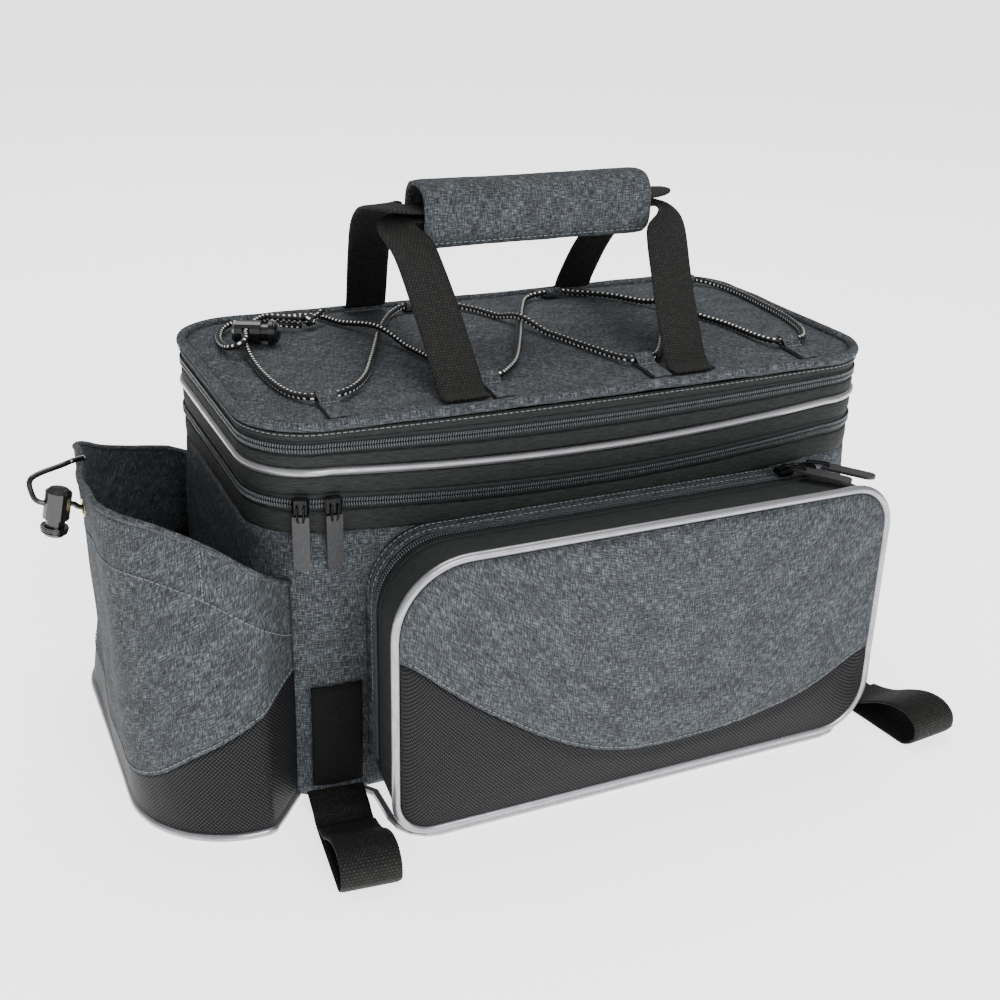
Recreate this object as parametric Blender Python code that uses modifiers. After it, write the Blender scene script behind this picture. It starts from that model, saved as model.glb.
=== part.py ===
"""Bicycle rack bag: a soft box with a zipped lid, a front pocket, an end pouch, a carrying
handle and elastic lacing on the lid. Metres, +Z up. The bag's length runs along X with the end
pouch at -X, the front pocket faces -Y, and the origin is the middle of the underside."""

import math

import bmesh
import bpy
from mathutils import Vector

# Cloth and fits
GAP = 0.0003
WALL = 0.002
TRIM_RADIUS = 0.0022

# Main compartment
BODY_LENGTH = 0.360
BODY_WIDTH = 0.190
BODY_CORNER = 0.036
BODY_BULGE = 0.004
TUB_HEIGHT = 0.154
BASE_CHAMFER = 0.005
CORNER_STEPS = 5
LONG_SIDE_STEPS = 4
BAND_SAG = 0.009

# Heights of the bands between the tub and the lid
BAND_LOWER_HEIGHT = 0.011
LOWER_ZIP_HEIGHT = 0.0085
BAND_MIDDLE_HEIGHT = 0.0089
BAND_UPPER_HEIGHT = 0.006
UPPER_ZIP_HEIGHT = 0.007
BAND_TOP_HEIGHT = 0.004
COIL_RISE = 0.0010
PIPING_STAND = 0.0004

# Lid
BINDING_RADIUS = 0.0028
BINDING_STAND = 0.0006
LID_DOME = 0.003
LID_THICKNESS = 0.002

# Front pocket
POCKET_LEFT = -0.132
POCKET_RIGHT = 0.152
POCKET_BOTTOM = 0.0074
POCKET_TOP = 0.156
POCKET_DEPTH = 0.055
POCKET_FLARE = 0.005
POCKET_PUFF = 0.004
POCKET_REAR_STRIP = 0.015
POCKET_ZIP_STRIP = 0.0128
POCKET_ZIP_END = 0.030
ZIP_END_SHARE = 0.12
POCKET_SIDE_STEPS = 4
PANEL_COLUMNS = 15
PANEL_ROWS = 4
POCKET_RADII = {"right_top": 0.024, "left_top": 0.038, "left_bottom": 0.020, "right_bottom": 0.028}

# End pouch
POUCH_DEPTH = 0.068
POUCH_HALF_WIDTH = 0.1155
POUCH_TOP_HALF_WIDTH = 0.105
POUCH_CORNER = 0.055
POUCH_SEAM_X = -0.1655
POUCH_SEAM_GAP = 0.0009
POUCH_HEIGHT = 0.165
POUCH_LEAN = 0.004
POUCH_SEAM_STEP = 0.020
EYELET_OUTER = 0.0048
EYELET_INNER = 0.0026
EYELET_THICKNESS = 0.0012
EYELET_DROP = 0.012
EYELET_Y = -0.020
DRAWCORD_RADIUS = 0.0014

# Handle
WEBBING_WIDTH = 0.025
WEBBING_THICKNESS = 0.0016
GRIP_LEFT = -0.064
GRIP_RIGHT = 0.071
GRIP_HEIGHT = 0.2845
GRIP_TALL = 0.036
GRIP_WIDE = 0.032
GRIP_WALL = 0.0025
STRAP_END_Y = 0.0907
FRONT_ANCHORS = (0.0065, -0.0105)
BACK_ANCHORS = (-0.0005, 0.0050)

# Lid lacing
CORD_RADIUS = 0.00175
TAB_WIDTH = 0.0105
TAB_CLOTH = 0.0009
TAB_FRONT_Y = 0.0668
TAB_BACK_Y = 0.0728
TAB_OUTER_Y = 0.0905
FRONT_TABS = (-0.1365, -0.0500, 0.0410, 0.1355)
BACK_TABS = (-0.1400, -0.0370, 0.0560, 0.1540)

KNOT_PLACE = (-0.1070, 0.0560)

# Cord locks
LOCK_RADIUS = 0.0066
LOCK_LENGTH = 0.0155
LOCK_BORE = 0.0052
LOCK_FLOOR = 0.0016
LOCK_SIDES = 16
BUTTON_STEM = 0.0048
BUTTON_HEAD = 0.0068
BUTTON_HEAD_LENGTH = 0.0062
BUTTON_TRAVEL = 0.004
LID_LOCK_PLACE = (-0.1480, 0.0370)
LID_LOCK_TURN = -25.0
POUCH_LOCK_OUT = 0.0125
POUCH_LOCK_LEAN = 12.0

# Zip pulls
SLIDER = (0.0082, 0.0034, 0.0092)
TAG = (0.0083, 0.0015, 0.0290)
MAIN_SLIDER_X = (-0.1580, -0.1440)
POCKET_SLIDER_X = (0.1060, 0.1215)

# Hook-and-loop patch and rack straps
PATCH_LEFT = -0.1585
PATCH_WIDTH = 0.0265
PATCH_BOTTOM = 0.010
PATCH_HEIGHT = 0.060
PATCH_THICKNESS = 0.0012
STRAP_WIDTH = 0.030
STRAP_THICKNESS = 0.0016
STRAP_LOOP_HEIGHT = 0.021
STRAP_REACH = 0.179
LEFT_STRAP_X = (-0.1470, -0.1550)
RIGHT_STRAP_X = (0.1735, 0.1830)
RIGHT_STRAP_SLANT = -0.5

# Shares of BODY_BULGE at shares of TUB_HEIGHT
BULGE_ROWS = ((0.0, 0.30), (0.12, 0.60), (0.30, 0.95), (0.50, 1.00), (0.72, 0.75), (0.88, 0.35), (1.0, 0.0))
# Shares of BAND_SAG at shares of the height of the lid's binding
SAG_ROWS = ((0.30, 0.0), (0.74, 0.9), (0.81, 1.0), (0.89, 0.9), (0.95, 0.45), (1.0, 0.0))
# Shares of the lid's half width in from its edge, with the share of LID_DOME reached there
DOME_ROWS = ((0.0, 0.0), (0.18, 0.45), (0.45, 0.85), (0.80, 1.0))
# The pocket's seam between its two cloths: share of width, share of height
SEAM_ROWS = ((0.0, 0.70), (0.10, 0.52), (0.20, 0.375), (0.31, 0.235), (0.41, 0.155), (0.50, 0.125),
             (0.66, 0.132), (0.84, 0.195), (1.0, 0.35))
# The pouch's hem and the seam between its cloths: share of the way from the front seam to the
# middle of the outer side, share of POUCH_HEIGHT
HEM_ROWS = ((0.0, 0.77), (0.085, 0.825), (0.18, 0.89), (0.27, 0.97), (0.39, 1.03), (0.50, 1.045),
            (0.70, 1.03), (1.0, 1.0))
POUCH_SEAM_ROWS = ((0.0, 0.485), (0.10, 0.467), (0.18, 0.412), (0.27, 0.352), (0.38, 0.29),
                   (0.48, 0.206), (0.62, 0.158), (1.0, 0.145))
# Shares of the way round the pouch where its cloth has a column of points
POUCH_COLUMNS = (0.0, 0.055, 0.11, 0.18, 0.25, 0.32, 0.39, 0.46, 0.53, 0.60, 0.70, 0.85, 1.0)

# Half of each handle strap, from the lid to the grip: distance from the middle of the lid, height,
# share of the way from its anchor's place to its place at the grip, how far past the grip's end that
# is, and the way its width runs along X and Y
FRONT_STRAP_ROWS = ((STRAP_END_Y, 0.2118, 0.0, 0.0, 1.0, 0.0), (0.0815, 0.2132, 0.0, 0.0, 1.0, 0.0),
                    (0.0710, 0.2240, 0.1, 0.008, 1.0, 0.0), (0.0450, 0.2500, 0.5, 0.008, 1.0, 0.0),
                    (0.0220, 0.2710, 0.9, 0.009, 1.0, 0.0), (0.0095, 0.2800, 1.0, 0.0125, 0.75, 0.65),
                    (0.0020, 0.2830, 1.0, 0.0085, 0.25, 0.95), (0.0, 0.2833, 1.0, 0.0, 0.0, 1.0),
                    (0.0, 0.2833, 1.0, -0.012, 0.0, 1.0), (0.0, 0.2833, 1.0, -0.036, 0.0, 1.0))
BACK_STRAP_ROWS = ((STRAP_END_Y, 0.2118, 0.0, 0.0, 1.0, 0.0), (0.0850, 0.2135, 0.0, 0.0, 1.0, 0.0),
                   (0.0800, 0.2225, 0.1, 0.008, 1.0, 0.0), (0.0630, 0.2480, 0.5, 0.010, 1.0, 0.0),
                   (0.0380, 0.2735, 0.85, 0.013, 1.0, 0.0), (0.0195, 0.2860, 1.0, 0.0125, 1.0, 0.0),
                   (0.0095, 0.2885, 1.0, 0.0130, 0.75, 0.65), (0.0020, 0.2882, 1.0, 0.0085, 0.25, 0.95),
                   (0.0, 0.2875, 1.0, 0.0, 0.0, 1.0), (0.0, 0.2875, 1.0, -0.012, 0.0, 1.0),
                   (0.0, 0.2875, 1.0, -0.036, 0.0, 1.0))
# The lacing between the eyes and the lock, in order from the knot: x, y and lift off the lid
LACING_RUNS = (
    ((-0.1130, 0.0526, 0.0047), (-0.1210, 0.0570, 0.0052), (-0.1330, 0.0575, 0.0066)),
    ((-0.1532, 0.0215, 0.0066), (-0.1575, 0.0175, 0.0052), (-0.1617, 0.0225, 0.0032),
     (-0.1628, 0.0330, 0.0012), (-0.1612, 0.0500, 0.0), (-0.1555, 0.0650, 0.0006)),
    ((-0.1240, 0.0790, 0.0), (-0.1070, 0.0800, 0.0), (-0.0960, 0.0740, 0.0), (-0.0890, 0.0540, 0.0),
     (-0.0770, 0.0240, 0.0040), (-0.0700, -0.0060, 0.0), (-0.0655, -0.0330, 0.0), (-0.0630, -0.0560, 0.0006)),
    ((-0.0360, -0.0600, 0.0006), (-0.0240, -0.0450, 0.0), (-0.0090, -0.0170, 0.0), (0.0065, 0.0145, 0.0),
     (0.0210, 0.0440, 0.0), (0.0360, 0.0690, 0.0)),
    ((0.0720, 0.0700, 0.0), (0.0860, 0.0560, 0.0), (0.0990, 0.0330, 0.0002), (0.1080, 0.0125, 0.0040),
     (0.1150, -0.0060, 0.0002), (0.1210, -0.0270, 0.0), (0.1240, -0.0560, 0.0006)),
    ((0.1520, -0.0590, 0.0), (0.1610, -0.0430, 0.0), (0.1680, -0.0180, 0.0), (0.1715, 0.0100, 0.0),
     (0.1735, 0.0380, 0.0), (0.1710, 0.0610, 0.0)),
    ((0.1370, 0.0620, 0.0), (0.1240, 0.0380, 0.0), (0.1080, 0.0125, 0.0), (0.0930, -0.0080, 0.0),
     (0.0740, -0.0320, 0.0), (0.0580, -0.0560, 0.0)),
    ((0.0280, -0.0540, 0.0), (0.0210, -0.0330, 0.0), (0.0135, -0.0080, 0.0), (0.0065, 0.0145, 0.0040),
     (0.0005, 0.0350, 0.0), (-0.0070, 0.0570, 0.0), (-0.0180, 0.0710, 0.0006)),
    ((-0.0545, 0.0640, 0.0), (-0.0650, 0.0470, 0.0), (-0.0770, 0.0240, 0.0), (-0.0880, -0.0010, 0.0),
     (-0.0970, -0.0210, 0.0), (-0.1070, -0.0420, 0.0), (-0.1180, -0.0580, 0.0006)),
    ((-0.1505, -0.0560, 0.0), (-0.1540, -0.0390, 0.0), (-0.1550, -0.0180, 0.0), (-0.1545, 0.0020, 0.0006),
     (-0.1535, 0.0170, 0.0022)),
    ((-0.1330, 0.0575, 0.0028), (-0.1210, 0.0570, 0.0012), (-0.1130, 0.0526, 0.0008)))

PARTS = None
CUTTERS = None


def table_value(rows, share):
    """Straight-line reading of a table of (share, value) rows."""
    for (a, va), (b, vb) in zip(rows, rows[1:]):
        if share <= b:
            return va + (vb - va) * max(0.0, share - a) / (b - a)
    return rows[-1][1]


def material(name, colour, roughness, metallic=0.0):
    made = bpy.data.materials.get(name) or bpy.data.materials.new(name)
    made.use_nodes = True
    shader = made.node_tree.nodes["Principled BSDF"]
    shader.inputs["Base Color"].default_value = (*colour, 1.0)
    shader.inputs["Roughness"].default_value = roughness
    shader.inputs["Metallic"].default_value = metallic
    return made


HEATHER = ("heather_cloth", (0.075, 0.087, 0.098), 0.9)
DOBBY = ("dobby_nylon", (0.012, 0.012, 0.013), 0.7)
BAND_CLOTH = ("band_cloth", (0.018, 0.021, 0.018), 0.9)
ZIP_TAPE = ("zip_tape", (0.016, 0.018, 0.016), 0.6)
SILVER = ("silver_piping", (0.46, 0.46, 0.47), 0.3)
BLACK_WEBBING = ("black_webbing", (0.012, 0.011, 0.010), 0.85)
ELASTIC = ("elastic_cord", (0.02, 0.02, 0.02), 0.6)
LOCK_PLASTIC = ("lock_plastic", (0.008, 0.008, 0.008), 0.3)
NICKEL = ("black_nickel", (0.05, 0.05, 0.052), 0.25, 0.9)
TAG_RUBBER = ("tag_rubber", (0.03, 0.03, 0.032), 0.6)
HOOK_TAPE = ("hook_tape", (0.008, 0.008, 0.008), 0.95)
EYELET_BRASS = ("eyelet_metal", (0.62, 0.52, 0.36), 0.25, 1.0)


def add_object(name, data, finish):
    made = bpy.data.objects.new(name, data)
    data.materials.append(material(*finish))
    PARTS.objects.link(made)
    return made


def mesh_object(name, shape, finish):
    """Turn a bmesh into an object of its own and shade its round faces smooth."""
    data = bpy.data.meshes.new(name)
    shape.to_mesh(data)
    shape.free()
    data.shade_smooth()
    data.set_sharp_from_angle(angle=math.radians(35))
    return add_object(name, data, finish)


def loft(name, rows, finish, around=True, capped=False, middle=None):
    """Join rows of points into one skin. A capped skin is a closed body; an open one is turned
    so that its faces look away from the point called middle."""
    shape = bmesh.new()
    grid = [[shape.verts.new(p) for p in row] for row in rows]
    count = len(rows[0])
    last = count if around else count - 1
    for low, high in zip(grid, grid[1:]):
        for i in range(last):
            j = (i + 1) % count
            shape.faces.new((low[i], low[j], high[j], high[i]))
    if capped:
        shape.faces.new(reversed(grid[0]))
        shape.faces.new(grid[-1])
        bmesh.ops.recalc_face_normals(shape, faces=shape.faces)
    else:
        shape.normal_update()
        outward = sum(f.normal.dot(f.calc_center_median() - Vector(middle)) * f.calc_area() for f in shape.faces)
        if outward < 0:
            bmesh.ops.reverse_faces(shape, faces=shape.faces)
    return mesh_object(name, shape, finish)


def thicken(made, thickness):
    """Give an open skin its cloth thickness, on the inner side."""
    solid = made.modifiers.new("cloth", "SOLIDIFY")
    solid.thickness = thickness
    solid.offset = -1.0
    solid.use_even_offset = True
    return made


def cord(name, points, radius, finish, closed=False, sides=2):
    """A round cord or piping along a line of points."""
    data = bpy.data.curves.new(name, "CURVE")
    data.dimensions = "3D"
    data.bevel_depth = radius
    data.bevel_resolution = sides
    data.use_fill_caps = not closed
    line = data.splines.new("POLY")
    line.points.add(len(points) - 1)
    for slot, p in zip(line.points, points):
        slot.co = (*p, 1.0)
    line.use_cyclic_u = closed
    return add_object(name, data, finish)


def smooth_line(points, steps):
    """Catmull-Rom curve through the points, with this many steps between neighbours."""
    pts = [Vector(p) for p in points]
    ends = [2 * pts[0] - pts[1]] + pts + [2 * pts[-1] - pts[-2]]
    line = []
    for a, b, c, d in zip(ends, ends[1:], ends[2:], ends[3:]):
        for k in range(steps):
            t = k / steps
            line.append(0.5 * (2 * b + (c - a) * t + (2 * a - 5 * b + 4 * c - d) * t ** 2
                               + (3 * b - a - 3 * c + d) * t ** 3))
    return line + [pts[-1]]


def thinned(points, slack):
    """The same line with fewer points, none further than slack from it."""
    if len(points) < 3:
        return list(points)
    start, end = points[0], points[-1]
    along = (end - start).normalized()
    off = [((p - start) - along * (p - start).dot(along)).length for p in points]
    worst = max(range(len(points)), key=lambda i: off[i])
    if off[worst] <= slack:
        return [start, end]
    return thinned(points[:worst + 1], slack)[:-1] + thinned(points[worst:], slack)


# Main compartment and bands

def rounded_outline(half_x, half_y, radius, long_steps=LONG_SIDE_STEPS):
    """Rounded rectangle, anticlockwise from the right end of the back side."""
    points = []
    corners = ((1, 1, 0), (-1, 1, 90), (-1, -1, 180), (1, -1, 270))
    for sx, sy, start in corners:
        for k in range(CORNER_STEPS + 1):
            a = math.radians(start + 90 * k / CORNER_STEPS)
            points.append((sx * (half_x - radius) + radius * math.cos(a),
                           sy * (half_y - radius) + radius * math.sin(a)))
        if sx == sy:
            ahead = -sx * (half_x - radius)
            here = points[-1]
            for k in range(1, long_steps):
                points.append((here[0] + (ahead - here[0]) * k / long_steps, here[1]))
    return points


def bulge(z):
    return BODY_BULGE * table_value(BULGE_ROWS, z / TUB_HEIGHT)


def sag(x, y, z):
    """How far the trim lines dip in the middle of a long side."""
    along = 1.0 - min(1.0, abs(x) / (BODY_LENGTH / 2 - BODY_CORNER)) ** 2
    side = 1.0 if abs(y) > BODY_WIDTH / 2 - BODY_CORNER / 2 else 0.0
    return BAND_SAG * table_value(SAG_ROWS, z / band_levels()["binding"]) * along * side


def body_row(z, outset=0.0, bulged=True, sagging=True):
    """One row of points round the main compartment at a height."""
    grow = (bulge(z) if bulged and z < TUB_HEIGHT else 0.0) + outset
    flat = rounded_outline(BODY_LENGTH / 2 + grow, BODY_WIDTH / 2 + grow, BODY_CORNER + grow)
    return [Vector((x, y, z - (sag(x, y, z) if sagging else 0.0))) for x, y in flat]


def body_front(x, z):
    """The y of the front wall's outer face at a place."""
    grow = bulge(z) if z < TUB_HEIGHT else 0.0
    half_x, half_y, radius = BODY_LENGTH / 2 + grow, BODY_WIDTH / 2 + grow, BODY_CORNER + grow
    past = abs(x) - (half_x - radius)
    if past <= 0:
        return -half_y
    return -(half_y - radius) - math.sqrt(max(0.0, radius ** 2 - past ** 2))


def band_levels():
    """Heights of the trim between the tub and the lid, from named heights."""
    z = TUB_HEIGHT
    levels = {"lower": (z + GAP, z + GAP + BAND_LOWER_HEIGHT)}
    z = levels["lower"][1]
    levels["lower_zip"] = (z + GAP, z + GAP + LOWER_ZIP_HEIGHT)
    z = levels["lower_zip"][1]
    levels["middle"] = (z + GAP, z + GAP + BAND_MIDDLE_HEIGHT)
    z = levels["middle"][1] + GAP + TRIM_RADIUS
    levels["piping"] = z
    z = z + TRIM_RADIUS
    levels["upper"] = (z + GAP, z + GAP + BAND_UPPER_HEIGHT)
    z = levels["upper"][1]
    levels["upper_zip"] = (z + GAP, z + GAP + UPPER_ZIP_HEIGHT)
    z = levels["upper_zip"][1]
    levels["top"] = (z + GAP, z + GAP + BAND_TOP_HEIGHT)
    levels["binding"] = levels["top"][1] + GAP + BINDING_RADIUS
    return levels


def build_tub():
    rows = [body_row(0.0, outset=-BASE_CHAMFER - bulge(0.0), sagging=False)]
    heights = [BASE_CHAMFER] + [share * TUB_HEIGHT for share, _ in BULGE_ROWS[1:]]
    rows += [body_row(z) for z in heights]
    rows[-1] = body_row(TUB_HEIGHT, bulged=False)
    shape = bmesh.new()
    grid = [[shape.verts.new(p) for p in row] for row in rows]
    for low, high in zip(grid, grid[1:]):
        for i in range(len(low)):
            j = (i + 1) % len(low)
            shape.faces.new((low[i], low[j], high[j], high[i]))
    shape.faces.new(reversed(grid[0]))
    shape.normal_update()
    return thicken(mesh_object("body_tub", shape, HEATHER), WALL)


def band(name, level, finish):
    low, high = level
    return thicken(loft(name, [body_row(low), body_row(high)], finish, middle=(0, 0, low)), WALL)


def zip_band(name, level, finish):
    """A zip's tape with the coil as a raised line along its middle."""
    low, high = level
    middle = (low + high) / 2
    rows = [body_row(low), body_row(middle, outset=COIL_RISE), body_row(high)]
    return thicken(loft(name, rows, finish, middle=(0, 0, low)), WALL)


def build_bands():
    levels = band_levels()
    band("band_lower", levels["lower"], BAND_CLOTH)
    zip_band("lower_zip", levels["lower_zip"], ZIP_TAPE)
    band("band_middle", levels["middle"], BAND_CLOTH)
    cord("band_piping", body_row(levels["piping"], outset=-PIPING_STAND), TRIM_RADIUS, SILVER, closed=True)
    band("band_upper", levels["upper"], BAND_CLOTH)
    zip_band("upper_zip", levels["upper_zip"], ZIP_TAPE)
    band("band_top", levels["top"], BAND_CLOTH)
    cord("lid_binding", body_row(levels["binding"], outset=-BINDING_STAND), BINDING_RADIUS, HEATHER, closed=True)


# Lid

def lid_edge():
    return BINDING_RADIUS + BINDING_STAND + GAP


def edge_distance(x, y):
    """How far a point of the lid is in from the body's outline."""
    qx = abs(x) - (BODY_LENGTH / 2 - BODY_CORNER)
    qy = abs(y) - (BODY_WIDTH / 2 - BODY_CORNER)
    return BODY_CORNER - math.hypot(max(qx, 0.0), max(qy, 0.0)) - min(max(qx, qy), 0.0)


def lid_height(x, y):
    span = BODY_WIDTH / 2 - lid_edge()
    share = (edge_distance(x, y) - lid_edge()) / span
    return band_levels()["binding"] + LID_DOME * table_value(DOME_ROWS, share)


def build_lid():
    span = BODY_WIDTH / 2 - lid_edge()
    rows = []
    for share, rise in DOME_ROWS:
        inset = lid_edge() + share * span
        radius = max(0.004, BODY_CORNER - inset)
        flat = rounded_outline(BODY_LENGTH / 2 - inset, BODY_WIDTH / 2 - inset, radius)
        z = band_levels()["binding"] + LID_DOME * rise
        rows.append([Vector((x, y, z)) for x, y in flat])
    shape = bmesh.new()
    grid = [[shape.verts.new(p) for p in row] for row in rows]
    for outer, inner in zip(grid, grid[1:]):
        for i in range(len(outer)):
            j = (i + 1) % len(outer)
            shape.faces.new((outer[i], outer[j], inner[j], inner[i]))
    shape.faces.new(grid[-1])
    shape.normal_update()
    thicken(mesh_object("lid_panel", shape, HEATHER), LID_THICKNESS)


# Front pocket

def pocket_outline(inset, side_steps=POCKET_SIDE_STEPS):
    """Rounded rectangle in X and Z with a radius for each corner, anticlockwise from the front."""
    left, right = POCKET_LEFT + inset, POCKET_RIGHT - inset
    low, high = POCKET_BOTTOM + inset, POCKET_TOP - inset
    corners = ((right, high, -1, -1, "right_top", 0), (left, high, 1, -1, "left_top", 90),
               (left, low, 1, 1, "left_bottom", 180), (right, low, -1, 1, "right_bottom", 270))
    arcs = []
    for x, z, dx, dz, corner, start in corners:
        radius = POCKET_RADII[corner] - inset
        arc = []
        for k in range(CORNER_STEPS + 1):
            a = math.radians(start + 90 * k / CORNER_STEPS)
            arc.append((x + dx * radius + radius * math.cos(a), z + dz * radius + radius * math.sin(a)))
        arcs.append(arc)
    points = []
    for arc, after in zip(arcs, arcs[1:] + arcs[:1]):
        (ax, az), (bx, bz) = arc[-1], after[0]
        points += arc
        points += [(ax + (bx - ax) * k / side_steps, az + (bz - az) * k / side_steps)
                   for k in range(1, side_steps)]
    return points


def pocket_row(depth, inset=0.0):
    """One row round the gusset at a depth from the body's front wall, narrower near the seam."""
    flare = POCKET_FLARE * (1.0 - depth / POCKET_DEPTH)
    return [Vector((x, -(BODY_WIDTH / 2 + depth), z)) for x, z in pocket_outline(inset + flare)]


def high_run(row, floor):
    """The points of a closed row that lie above a height, in order along the row."""
    count = len(row)
    start = next(i for i in range(count) if row[i].z > floor >= row[i - 1].z)
    run = []
    while row[(start + len(run)) % count].z > floor:
        run.append((start + len(run)) % count)
    return run


def build_pocket():
    middle = (0.01, -(BODY_WIDTH / 2 + POCKET_DEPTH / 2), POCKET_TOP / 2)
    rear = [Vector((x, body_front(x, z) - 2 * GAP, z)) for x, z in pocket_outline(POCKET_FLARE)]
    thicken(loft("pocket_gusset_rear", [rear, pocket_row(POCKET_REAR_STRIP)], HEATHER, middle=middle), WALL)
    start = POCKET_REAR_STRIP + GAP
    coil = start + 0.4 * POCKET_ZIP_STRIP
    end = start + POCKET_ZIP_STRIP
    rows = [pocket_row(start), pocket_row(coil, inset=-COIL_RISE), pocket_row(end)]
    run = high_run(rows[0], POCKET_ZIP_END)
    tape = [[row[i] for i in run] for row in rows]
    for row in tape:
        row[0] = row[0].lerp(row[1], ZIP_END_SHARE)
        row[-1] = row[-1].lerp(row[-2], ZIP_END_SHARE)
    thicken(loft("pocket_zip", tape, ZIP_TAPE, around=False, middle=middle), WALL)
    beside_zip, below_zip = pocket_row(end + GAP), pocket_row(start)
    back = [beside_zip[i] if i in run else below_zip[i] for i in range(len(below_zip))]
    front = pocket_row(POCKET_DEPTH - TRIM_RADIUS - GAP)
    thicken(loft("pocket_gusset_front", [back, front], BAND_CLOTH, middle=middle), WALL)
    cord("pocket_piping", pocket_row(POCKET_DEPTH), TRIM_RADIUS, SILVER, closed=True)
    pocket_panel("pocket_panel_lower", DOBBY, lower=True)
    pocket_panel("pocket_panel_upper", HEATHER, lower=False)


def pocket_edges(x, inset):
    """The lowest and highest z of the pocket's face at an x."""
    edges = []
    for side, sign in (("bottom", 1), ("top", -1)):
        z = POCKET_BOTTOM + inset if side == "bottom" else POCKET_TOP - inset
        for end, limit, way in (("left", POCKET_LEFT + inset, 1), ("right", POCKET_RIGHT - inset, -1)):
            radius = POCKET_RADII[end + "_" + side] - inset
            past = radius - way * (x - limit)
            if past > 0:
                z += sign * (radius - math.sqrt(max(0.0, radius ** 2 - past ** 2)))
        edges.append(z)
    return edges


def pocket_face(x, z):
    """The face of the pocket puffs out towards its middle."""
    u = 2 * (x - POCKET_LEFT) / (POCKET_RIGHT - POCKET_LEFT) - 1
    v = 2 * (z - POCKET_BOTTOM) / (POCKET_TOP - POCKET_BOTTOM) - 1
    puff = POCKET_PUFF * (1 - min(1.0, abs(u)) ** 4) * (1 - min(1.0, abs(v)) ** 4)
    return -(BODY_WIDTH / 2 + POCKET_DEPTH + WALL / 2 + puff)


def pocket_panel(name, finish, lower):
    inset = TRIM_RADIUS + GAP
    middle_x = (POCKET_LEFT + POCKET_RIGHT) / 2
    half = (POCKET_RIGHT - POCKET_LEFT) / 2 - inset
    columns = []
    for i in range(PANEL_COLUMNS + 1):
        x = middle_x - half * math.cos(math.pi * i / PANEL_COLUMNS)
        low, high = pocket_edges(x, inset)
        share = (x - POCKET_LEFT) / (POCKET_RIGHT - POCKET_LEFT)
        seam = POCKET_BOTTOM + (POCKET_TOP - POCKET_BOTTOM) * table_value(SEAM_ROWS, share)
        if lower:
            high = seam - GAP / 2
        else:
            low = seam + GAP / 2
        columns.append([Vector((x, pocket_face(x, z), z))
                        for z in (low + (high - low) * k / PANEL_ROWS for k in range(PANEL_ROWS + 1))])
    middle = (middle_x, 0.0, (POCKET_TOP + POCKET_BOTTOM) / 2)
    thicken(loft(name, columns, finish, around=False, middle=middle), WALL)


# End pouch

def pouch_half_outline(height):
    """The pouch's outer side from its front seam to the middle, as a line of points in plan."""
    share = min(1.0, height / POUCH_HEIGHT)
    half_width = POUCH_HALF_WIDTH + (POUCH_TOP_HALF_WIDTH - POUCH_HALF_WIDTH) * share ** 2
    outer = -(BODY_LENGTH / 2 + POUCH_DEPTH + POUCH_LEAN * (share - 0.5))
    seam = Vector((POUCH_SEAM_X, body_front(POUCH_SEAM_X, height) - POUCH_SEAM_GAP))
    turn = Vector((POUCH_SEAM_X - POUCH_SEAM_STEP, -half_width))
    centre = Vector((outer + POUCH_CORNER, -(half_width - POUCH_CORNER)))
    points = [seam, seam.lerp(turn, 0.5) + Vector((-0.1, -0.15)) * POUCH_SEAM_STEP, turn]
    for k in range(13):
        a = math.radians(270 - 90 * k / 12)
        points.append(centre + POUCH_CORNER * Vector((math.cos(a), math.sin(a))))
    points.append(Vector((outer, 0.0)))
    return points


def pouch_place(share, height):
    """A point in plan: share 0 is the front seam, 1 the middle and 2 the back seam."""
    points = pouch_half_outline(height)
    lengths = [0.0]
    for a, b in zip(points, points[1:]):
        lengths.append(lengths[-1] + (b - a).length)
    wanted = lengths[-1] * (share if share <= 1 else 2 - share)
    k = next(i for i in range(len(points) - 1) if wanted <= lengths[i + 1] + 1e-9)
    place = points[k].lerp(points[k + 1], (wanted - lengths[k]) / (lengths[k + 1] - lengths[k]))
    return place if share <= 1 else Vector((place.x, -place.y))


def pouch_shares():
    return list(POUCH_COLUMNS) + [2 - s for s in reversed(POUCH_COLUMNS[:-1])]


def pouch_level(rows, share):
    return POUCH_HEIGHT * table_value(rows, share if share <= 1 else 2 - share)


def pouch_sheet(name, finish, lower, upper, steps):
    """A stretch of the pouch's cloth between two heights that vary round it."""
    columns = []
    for share in pouch_shares():
        low, high = lower(share), upper(share)
        column = []
        for k in range(steps + 1):
            z = low + (high - low) * k / steps
            place = pouch_place(share, z)
            column.append(Vector((place.x, place.y, z)))
        columns.append(column)
    middle = (-BODY_LENGTH / 2, 0.0, POUCH_HEIGHT / 2)
    thicken(loft(name, columns, finish, around=False, middle=middle), WALL)


def build_pouch():
    foot = BASE_CHAMFER + GAP
    pouch_sheet("pouch_panel_lower", DOBBY, lambda s: foot,
                lambda s: pouch_level(POUCH_SEAM_ROWS, s) - GAP, 2)
    pouch_sheet("pouch_panel_upper", HEATHER, lambda s: pouch_level(POUCH_SEAM_ROWS, s) + GAP,
                lambda s: pouch_level(HEM_ROWS, s), 3)
    build_pouch_base()
    line = [pouch_place(s, 0.0) for s in pouch_shares()]
    centre = Vector((-BODY_LENGTH / 2, 0.0))
    line = [p + (centre - p).normalized() * GAP * 3 for p in line]
    cord("pouch_piping", [Vector((p.x, p.y, TRIM_RADIUS + GAP)) for p in line], TRIM_RADIUS, SILVER)
    build_eyelet()


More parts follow.
